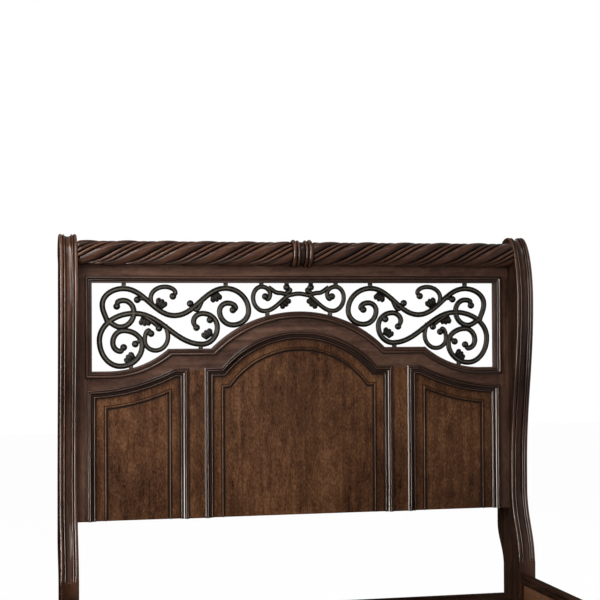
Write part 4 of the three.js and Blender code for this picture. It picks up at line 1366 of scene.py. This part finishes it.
class Headboard:
    """The headboard: posts, roll, framed panels and scrollwork."""

    POSTS = SleighPost(
        "headboard_post", HEAD_FACE, 1.0, foot=-96.0, foot_top=480.0, reed_foot=492.0, neck=-27.0,
        neck_low=740.0, neck_high=810.0, belly=-100.0, belly_drop=230.0, crest=12.0, height=1670.0,
        scroll_reach=84.0, scroll_drop=62.0, scroll_turn=34.0, scroll_under=42.0, back_top=56.0,
        back=128.0, back_drop=160.0, back_low=600.0, foot_back=66.0, foot_back_top=450.0)

    def build(self) -> None:
        """Builds every piece of the headboard."""
        self.POSTS.build()
        RopeRoll("headboard").build()
        RollCollar("headboard").build()
        opening = OpeningOutline()
        MouldingRun("headboard_opening_moulding", opening.grown, HEAD_FACE, True,
                    OPENING_SECTION).build()
        for label, outline in (("left", SidePanelOutline(-1)), ("centre", MidPanelOutline()),
                               ("right", SidePanelOutline(1))):
            framed_panel("headboard", label, outline.shrunk, HEAD_FACE, False, 30.0)
        dress("headboard_arch_rail", FRAME_WOOD, Grain.ACROSS)
        # The top rail takes the lighter copy of the frame wood, as painted light.
        dress("headboard_top_rail", TOP_WOOD, Grain.ACROSS)
        for side in ("left", "right"):
            dress(f"headboard_stile_{side}", FRAME_WOOD, Grain.UPRIGHT)
            Board(f"headboard_mullion_{side}", PANEL_WOOD, Grain.UPRIGHT, 0.6).build()
        Board("headboard_rear_batten", FRAME_WOOD, Grain.ACROSS).build()
        Board("headboard_lower_rail", SIDE_WOOD, Grain.ACROSS, 2.5).build()
        SideScroll("headboard_scroll_left", opening, (-1,)).build()
        SideScroll("headboard_scroll_right", opening, (1,)).build()
        MidScroll("headboard_scroll_centre", opening, (-1, 1)).build()


class Footboard:
    """The footboard: the headboard's posts and roll made low, with three square panels."""

    POSTS = SleighPost(
        "footboard_post", FOOT_INNER, -1.0, foot=-44.0, foot_top=290.0, reed_foot=300.0, neck=-14.0,
        neck_low=400.0, neck_high=430.0, belly=-46.0, belly_drop=148.0, crest=18.0, height=758.0,
        scroll_reach=92.0, scroll_drop=52.0, scroll_turn=30.0, scroll_under=38.0, back_top=66.0,
        back=100.0, back_drop=136.0, back_low=400.0, foot_back=76.0, foot_back_top=280.0)

    def build(self) -> None:
        """Builds every piece of the footboard."""
        self.POSTS.build()
        RopeRoll("footboard").build()
        RollCollar("footboard").build()
        for label in ("left", "centre", "right"):
            outline = BoxPanelOutline(f"footboard_panel_moulding_{label}")
            framed_panel("footboard", label, outline.shrunk, FOOT_FACE, True, 22.0)
        dress("footboard_top_rail", FRAME_WOOD, Grain.ACROSS)
        Board("footboard_bottom_rail", FRAME_WOOD, Grain.ACROSS, 1.0).build()
        for side in ("left", "right"):
            Board(f"footboard_stile_{side}", PANEL_WOOD, Grain.UPRIGHT, 0.6).build()
            Board(f"footboard_mullion_{side}", PANEL_WOOD, Grain.UPRIGHT, 0.6).build()


class Bedstead:
    """What carries the mattress: side rails, cleats, slats, legs and glides."""

    SLATS, LEGS = 5, 2

    def build(self) -> None:
        """Builds every piece between the two ends."""
        for side in ("left", "right"):
            Board(f"side_rail_{side}", RAIL_WOOD, Grain.LENGTHWISE, 2.0).build()
            RailCap(f"side_rail_cap_{side}").build()
            Board(f"slat_cleat_{side}", PINE, Grain.LENGTHWISE, 1.0).build()
            for end in ("head", "foot"):
                dress(f"{end}_hook_plate_{side}", STEEL)
        for number in range(1, self.SLATS + 1):
            Board(f"slat_{number}", PINE, Grain.ACROSS, 2.5).build()
        for number in range(1, self.LEGS + 1):
            dress(f"centre_leg_{number}", PINE, Grain.UPRIGHT)
            dress(f"levelling_glide_{number}", PLASTIC)


# ---- studio
class Studio:
    """A white floor, soft lamps and the camera. Their Y is measured from the headboard's face."""

    LENS, SENSOR = 84.0, 36.0
    CAMERA = (-1.0847, -4.9038, 1.3491)
    YAW, PITCH, ROLL = 0.2180, 0.0179, -0.0055
    # place, point that it faces, width and height in metres, power in watts
    LAMPS = {
        "key_lamp": ((-1.2, -1.2, 2.2), (0.0, 0.0, 1.1), (0.7, 1.8), 48.0),
        "front_fill": ((-0.6, -5.2, 2.4), (-0.2, 0.0, 1.0), (1.2, 1.2), 7.0),
        "foot_fill": ((0.5, -4.4, 1.0), (0.0, -2.116, 0.4), (1.0, 1.0), 7.0),
        "top_lamp": ((0.0, -1.2, 4.2), (0.0, 0.0, 1.0), (2.0, 0.8), 34.0),
        "rear_lamp": ((1.6, 4.6, 3.0), (0.0, 0.0, 0.9), (2.4, 2.4), 80.0),
        "side_lamp": ((3.8, 0.4, 1.9), (0.8, -1.016, 0.6), (1.6, 1.6), 75.0),
        "side_card": ((-3.3, -1.5, 1.3), (0.0, 0.0, 1.2), (1.5, 2.6), 900.0),
        "high_card": ((-2.2, -1.3, 3.4), (-0.2, 0.0, 1.5), (0.8, 2.8), 250.0),
    }
    CARD_TINT = (1.0, 0.90, 0.83)       # cards only show in the lacquer
    FLOOR, FLOOR_SIZE = 0.80, 14.0
    FLOOR_GLOW = 0.98                   # share of plain white in the floor, the rest takes shadow
    ROOM_LIGHT = 0.13
    WHITE = (1.0, 1.0, 1.0, 1.0)

    def build(self) -> None:
        """Sets up the floor, the room, the lamps and the camera."""
        self.floor()
        self.room()
        for name in self.LAMPS:
            self.lamp(name)
        self.camera()
        bpy.context.scene.view_settings.view_transform = "Standard"

    @staticmethod
    def seen(graph: Graph) -> Socket:
        """1 for what the camera sees, straight or through mirrors and glass, and 0 for light."""
        paths = graph.node("LightPath").outputs
        direct = graph.sum("MAXIMUM", paths["Is Camera Ray"], paths["Is Glossy Ray"])
        return graph.sum("MAXIMUM", direct, paths["Is Transmission Ray"])

    def floor(self) -> None:
        """Lays a plain white floor that keeps the bed's shadow."""
        made = bmesh.new()
        bmesh.ops.create_grid(made, x_segments=1, y_segments=1, size=self.FLOOR_SIZE)
        mesh = bpy.data.meshes.new("studio_floor")
        made.to_mesh(mesh)
        made.free()
        floor = bpy.data.objects.new("studio_floor", mesh)
        bpy.context.scene.collection.objects.link(floor)
        graph = Graph(bpy.data.materials.new("studio_floor_paint"))
        shade = graph.node("BsdfDiffuse", {"Color": (*[self.FLOOR] * 3, 1.0)})
        glow = graph.node("Emission", {"Strength": 1.0})
        share = graph.sum("MULTIPLY", self.seen(graph), self.FLOOR_GLOW)
        mixed = graph.node("MixShader", {0: share, 1: shade.outputs[0], 2: glow.outputs[0]})
        graph.node("OutputMaterial", {"Surface": mixed.outputs[0]})
        mesh.materials.append(graph.owner)

    def room(self) -> None:
        """Lights the room evenly, and shows white behind the bed."""
        world = bpy.data.worlds.new("studio_room")
        bpy.context.scene.world = world
        graph = Graph(world)
        soft = graph.node("Background", {"Color": self.WHITE, "Strength": self.ROOM_LIGHT})
        white = graph.node("Background", {"Color": self.WHITE, "Strength": 1.0})
        mixed = graph.node("MixShader", {
            0: self.seen(graph), 1: soft.outputs[0], 2: white.outputs[0]})
        graph.node("OutputWorld", {"Surface": mixed.outputs[0]})

    def lamp(self, name: str) -> None:
        """Hangs the lamp or the card of that name."""
        place, aim, size, power = self.LAMPS[name]
        data = bpy.data.lights.new(name, "AREA")
        data.shape = "RECTANGLE"
        data.size, data.size_y = size
        data.energy = power
        lamp = bpy.data.objects.new(name, data)
        lamp.location = Vector(place) + Vector((0.0, HEAD_FACE, 0.0))
        if name.endswith("card"):
            lamp.visible_diffuse = False
            data.color = self.CARD_TINT
        way = Vector(aim) - Vector(place)
        lamp.rotation_euler = way.to_track_quat("-Z", "Y").to_euler()
        bpy.context.scene.collection.objects.link(lamp)

    def camera(self) -> None:
        """Sets the camera up in front of the headboard, a little to its left."""
        data = bpy.data.cameras.new("studio_camera")
        data.lens = self.LENS
        data.sensor_width = self.SENSOR
        data.clip_end = 60.0
        camera = bpy.data.objects.new("studio_camera", data)
        turn = (Matrix.Rotation(-self.YAW, 4, "Z")
                @ Matrix.Rotation(math.pi / 2 + self.PITCH, 4, "X")
                @ Matrix.Rotation(self.ROLL, 4, "Z"))
        place = Vector(self.CAMERA) + Vector((0.0, HEAD_FACE, 0.0))
        camera.matrix_world = Matrix.Translation(place) @ turn
        bpy.context.scene.collection.objects.link(camera)
        bpy.context.scene.camera = camera


def main() -> None:
    """Builds and dresses the bed."""
    logging.basicConfig(level=logging.INFO, format="%(message)s")
    Studio().build()
    Headboard().build()
    Footboard().build()
    Bedstead().build()


if __name__ == "__main__":
    main()
